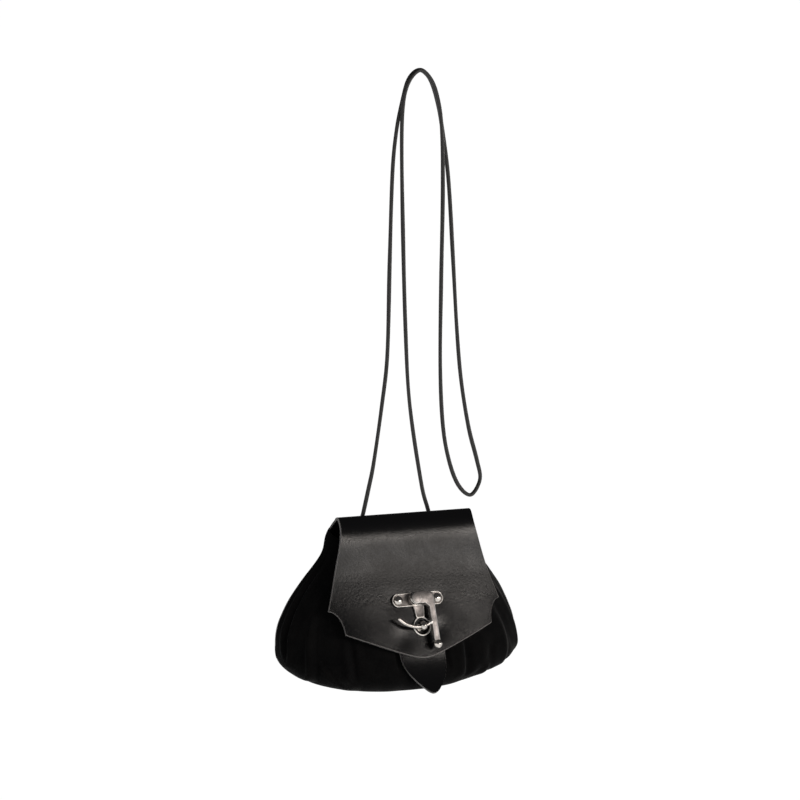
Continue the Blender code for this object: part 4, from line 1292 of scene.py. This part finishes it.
def make_pivot(clasp, antique, worn):
    """The flat round head that the lever turns under, with a bright rim."""
    head = lever_base() + HUB_HEIGHT + GAP
    rim = 0.5 * MM
    profile = [(PIVOT_RADIUS, GAP), (PIVOT_RADIUS, head), (PIVOT_HEAD_RADIUS - 0.1 * MM, head),
               (PIVOT_HEAD_RADIUS, head + 0.15 * MM), (PIVOT_HEAD_RADIUS, head + PIVOT_HEAD_HEIGHT - rim),
               (PIVOT_HEAD_RADIUS - rim * 0.3, head + PIVOT_HEAD_HEIGHT - rim * 0.3),
               (PIVOT_HEAD_RADIUS - rim, head + PIVOT_HEAD_HEIGHT)]
    pin = drawn_out("pivot_head", profile)
    smooth_by_angle(pin, 30)
    finish_piece(pin, antique, "bag")
    polish_faces(pin, worn, lambda face: 0.02 < face.normal.z < 0.98)
    set_in_place(pin, clasp @ Matrix.Translation((PIVOT_X, 0, 0)))
    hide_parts("pivot_pin")


def make_lever(clasp, antique, polished, worn):
    """The bent arm, its hub, the ball at its foot, and the horn that goes through the stud."""
    left, right = ARM_X - ARM_WIDTH / 2, ARM_X + ARM_WIDTH / 2
    length = BAR_ABOVE + ARM_FOOT_BELOW
    deselect()
    bpy.ops.mesh.primitive_cube_add(size=1, location=(ARM_X, BAR_ABOVE - length / 2, arm_middle()),
                                    scale=(ARM_WIDTH, length, ARM_THICKNESS))
    arm = named("lever_arm")
    set_in_place(arm, Matrix.Identity(4))
    start_edit(arm)
    bpy.ops.mesh.select_all(action="SELECT")
    bpy.ops.mesh.bisect(plane_co=(0, -BAR_BELOW, 0), plane_no=(0, 1, 0))
    pick(arm, "FACE", lambda face: face.normal.x < -0.9 and face.calc_center_median().y > -BAR_BELOW)
    extrude_by(PIVOT_X - left, 0, 0)
    pick(arm, "EDGE", lambda edge: upright_edge(edge, right, BAR_ABOVE))
    bpy.ops.mesh.bevel(offset=CORNER_ROUND, segments=10, affect="EDGES")
    pick(arm, "EDGE", lambda edge: upright_edge(edge, left, -BAR_BELOW))
    bpy.ops.mesh.bevel(offset=CORNER_CUT, segments=1, affect="EDGES")
    front = arm_middle() + ARM_THICKNESS / 2
    pick(arm, "EDGE", lambda edge: all(abs(vertex.co.z - front) < SAME_PLACE for vertex in edge.verts)
         and outer_edge(edge, right))
    bpy.ops.mesh.bevel(offset=ARM_BRIGHT_EDGE, segments=4, affect="EDGES")
    end_edit()
    soften_edges(arm, ARM_ROUNDING)
    finish_piece(arm, antique, "lever")
    polish_faces(arm, worn, lambda face: 0.02 < face.normal.z < 0.97)
    set_in_place(arm, clasp)
    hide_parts("lever")

    base, top = lever_base(), lever_base() + HUB_HEIGHT
    hub = drawn_out("lever_hub", [(HUB_RADIUS - 0.5 * MM, base), (HUB_RADIUS, base + 0.5 * MM),
                                  (HUB_RADIUS, top - 0.9 * MM), (HUB_RADIUS - 0.12 * MM, top - 0.45 * MM),
                                  (HUB_RADIUS - 0.45 * MM, top - 0.12 * MM), (HUB_RADIUS - 0.9 * MM, top)])
    smooth_by_angle(hub, 50)
    set_in_place(hub, clasp @ Matrix.Translation((PIVOT_X, 0, 0)))
    finish_piece(hub, polished, "lever")

    profile = []
    for step in range(25):
        turn = math.radians(87 - 174 * step / 24)
        profile.append((BALL_RADIUS * math.cos(turn), BALL_RADIUS * math.sin(turn)))
    ball = drawn_out("lever_ball", profile)
    smooth_by_angle(ball, 50)
    upright = Matrix.Rotation(math.radians(-90), 4, "X")
    centre = Matrix.Translation((ARM_X, -ARM_FOOT_BELOW - BALL_RADIUS * 0.8, arm_middle()))
    set_in_place(ball, clasp @ centre @ upright)
    finish_piece(ball, polished, "lever")

    drop = math.sqrt(HORN_ARC_RADIUS ** 2 - (left - PIVOT_X) ** 2)
    half = STUB_HEIGHT / 2
    stub = drawn_out("lever_stub", [(half * 0.8, -STUB_LENGTH), (half * 0.97, -STUB_LENGTH + 0.3 * MM),
                                    (half, 0), (half, STUB_SHOWN)], sides=40)
    smooth_by_angle(stub, 50)
    sideways = Matrix.Rotation(math.radians(90), 4, "Y")
    set_in_place(stub, clasp @ Matrix.Translation((left, -drop, arm_middle())) @ sideways)
    finish_piece(stub, worn, "lever")
    make_horn(clasp, polished, left)


def upright_edge(edge, x, y):
    """Whether an edge stands on the clasp's plane at a place."""
    return all(abs(vertex.co.x - x) < SAME_PLACE and abs(vertex.co.y - y) < SAME_PLACE
               for vertex in edge.verts)


def outer_edge(edge, right):
    """Whether an edge belongs to the arm's long right side or the round corner above it."""
    low, high = (vertex.co for vertex in edge.verts)
    on_side = abs(low.x - right) < SAME_PLACE and abs(high.x - right) < SAME_PLACE
    x, y = right - CORNER_ROUND, BAR_ABOVE - CORNER_ROUND
    on_corner = all(point.x > x - SAME_PLACE and point.y > y - SAME_PLACE
                    and abs(math.hypot(point.x - x, point.y - y) - CORNER_ROUND) < 10 * SAME_PLACE
                    for point in (low, high))
    return on_side or on_corner


def make_horn(clasp, polished, left):
    """A round bar on an arc round the pivot, from the arm to its flat tip."""
    first = math.asin((left - PIVOT_X) / HORN_ARC_RADIUS)
    horn = spun_bar("lever_horn", first, math.radians(HORN_TIP_TURN) + first, HORN_SHOWN_RADIUS)
    soften_edges(horn, HORN_ROUNDING, 4)
    set_in_place(horn, clasp @ Matrix.Translation((PIVOT_X, 0, arm_middle())))
    finish_piece(horn, polished, "lever")


def spun_bar(name, first, sweep, radius, steps=40):
    """A round bar spun clockwise round the pivot's axis from an angle right of straight down."""
    deselect()
    start = Vector((HORN_ARC_RADIUS * math.sin(first), -HORN_ARC_RADIUS * math.cos(first), 0))
    turn = Matrix.Rotation(first, 4, "Z") @ Matrix.Rotation(math.radians(90), 4, "Y")
    bpy.ops.mesh.primitive_circle_add(vertices=28, radius=radius)
    bar = named(name)
    set_in_place(bar, Matrix.Translation(start) @ turn)
    start_edit(bar)
    bpy.ops.mesh.select_all(action="SELECT")
    bpy.ops.mesh.spin(steps=steps, angle=sweep, center=(0, 0, 0), axis=(0, 0, 1))
    pick(bar, "EDGE", lambda edge: edge.is_boundary)
    bpy.ops.mesh.edge_face_add()
    end_edit()
    return bar


def make_stud(clasp, polished):
    """The stud on the tongue: a ball with a cross hole, a neck and a base."""
    height = arm_middle()
    base = -LEATHER
    foot = -LEATHER - GAP - TONGUE_LEATHER
    meet = math.asin(STUD_NECK_RADIUS / STUD_BALL_RADIUS)
    profile = [(STUD_NECK_RADIUS, foot), (STUD_NECK_RADIUS, base), (STUD_BASE_RADIUS, base),
               (STUD_BASE_RADIUS, base + STUD_BASE_HEIGHT), (STUD_NECK_RADIUS, base + STUD_BASE_HEIGHT)]
    for step in range(21):
        turn = -math.pi / 2 + meet + (math.pi - meet) * step / 20
        profile.append((max(STUD_BALL_RADIUS * math.cos(turn), STUD_BALL_RADIUS * 0.03),
                        height + STUD_BALL_RADIUS * math.sin(turn)))
    stud = drawn_out("stud_ball", profile)
    oval = Matrix.Diagonal((*STUD_OVAL, 1, 1))
    set_in_place(stud, Matrix.Translation((-STUD_SHOWN_LEFT, -RING_BELOW, 0)) @ oval)
    middle = math.atan2(-PIVOT_X, RING_BELOW)
    tool = spun_bar("horn_tool", middle + math.radians(18), math.radians(36),
                    HORN_SHOWN_RADIUS + HORN_HOLE_GAP, 16)
    tool.data.transform(Matrix.Translation((PIVOT_X, 0, height)))
    cut_away(stud, tool)
    smooth_by_angle(stud, 40)
    set_in_place(stud, clasp)
    finish_piece(stud, polished, "bag")
    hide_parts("stud")


# Stage and light

def plain_white():
    material, shader, _ = start_material("plain_white", (0.05, 0.05, 0.05), 0.9)
    shader.inputs["Emission Color"].default_value = (1, 1, 1, 1)
    shader.inputs["Emission Strength"].default_value = 1.0
    return material


def make_stage():
    """A wide pale floor that curves up into a low wall all round."""
    inner = BOWL_RADIUS - BOWL_BEND
    deselect()
    bpy.ops.mesh.primitive_circle_add(vertices=96, radius=inner, location=(0, 0, FLOOR_HEIGHT))
    floor = named("floor")
    set_in_place(floor, Matrix.Identity(4))
    start_edit(floor)
    bpy.ops.mesh.select_mode(type="EDGE")
    bpy.ops.mesh.select_all(action="SELECT")
    profile = []
    for step in range(BOWL_STEPS + 1):
        turn = math.pi / 2 * step / BOWL_STEPS
        profile.append((inner + BOWL_BEND * math.sin(turn),
                        FLOOR_HEIGHT + (BOWL_RIM_HEIGHT - FLOOR_HEIGHT) * (1 - math.cos(turn))))
    extrude_rings(profile)
    pick(floor, "EDGE", lambda edge: all(abs(vertex.co.z - FLOOR_HEIGHT) < MM for vertex in edge.verts))
    bpy.ops.mesh.edge_face_add()
    bpy.ops.object.mode_set(mode="OBJECT")
    bpy.ops.object.shade_smooth()
    floor.data.materials.append(plain_white())
    floor.visible_diffuse = False


def add_light(name, azimuth, elevation, distance, size, power, target):
    """A soft rectangular light."""
    data = bpy.data.lights.new(name, "AREA")
    data.shape = "RECTANGLE"
    data.size, data.size_y = size
    data.energy = power
    data.color = LIGHT_COLOR
    aimed(name, data, target, azimuth, elevation, distance)


def make_lights():
    middle = (BAG_X, BAG_Y - 20 * MM, -BAG_DROP - 50 * MM)
    add_light("softbox_right", 31.0, 12.5, 1.9, (1.1, 0.26), 7.2, middle)
    add_light("softbox_left", -65.0, 8.0, 2.2, (0.7, 0.9), 1.2, middle)
    add_light("softbox_side", 120.0, 4.0, 2.0, (0.6, 0.8), 6.0, middle)
    bpy.context.scene.view_settings.view_transform = "Standard"
    world = bpy.data.worlds.new("world")
    bpy.context.scene.world = world
    world.use_nodes = True
    background = world.node_tree.nodes["Background"]
    background.inputs["Color"].default_value = WORLD_COLOR
    background.inputs["Strength"].default_value = 1.0


make_camera()
lace = leather_lace()
make_cord(lace)
leather, edge, suede = smooth_leather(), cut_edge(), black_suede()
antique = antique_metal("antique_nickel", (0.40, 0.37, 0.355), 0.40, 0.52)
polished = antique_metal("polished_nickel", (0.66, 0.62, 0.575), 0.12, 0.24)
worn = antique_metal("worn_nickel", (0.95, 0.91, 0.86), 0.30, 0.42)
clasp_frame = clasp_matrix()
make_bag_leather(clasp_frame, leather, edge)
make_suede(suede)
make_tongue(leather, edge)
make_belt_strap(leather, edge)
make_stitches(waxed_thread())
make_clasp_base(clasp_frame, antique, worn)
make_rivet(-1, clasp_frame, polished)
make_rivet(1, clasp_frame, polished)
make_pivot(clasp_frame, antique, worn)
make_lever(clasp_frame, antique, polished, worn)
make_stud(clasp_frame, polished)
make_stage()
make_lights()
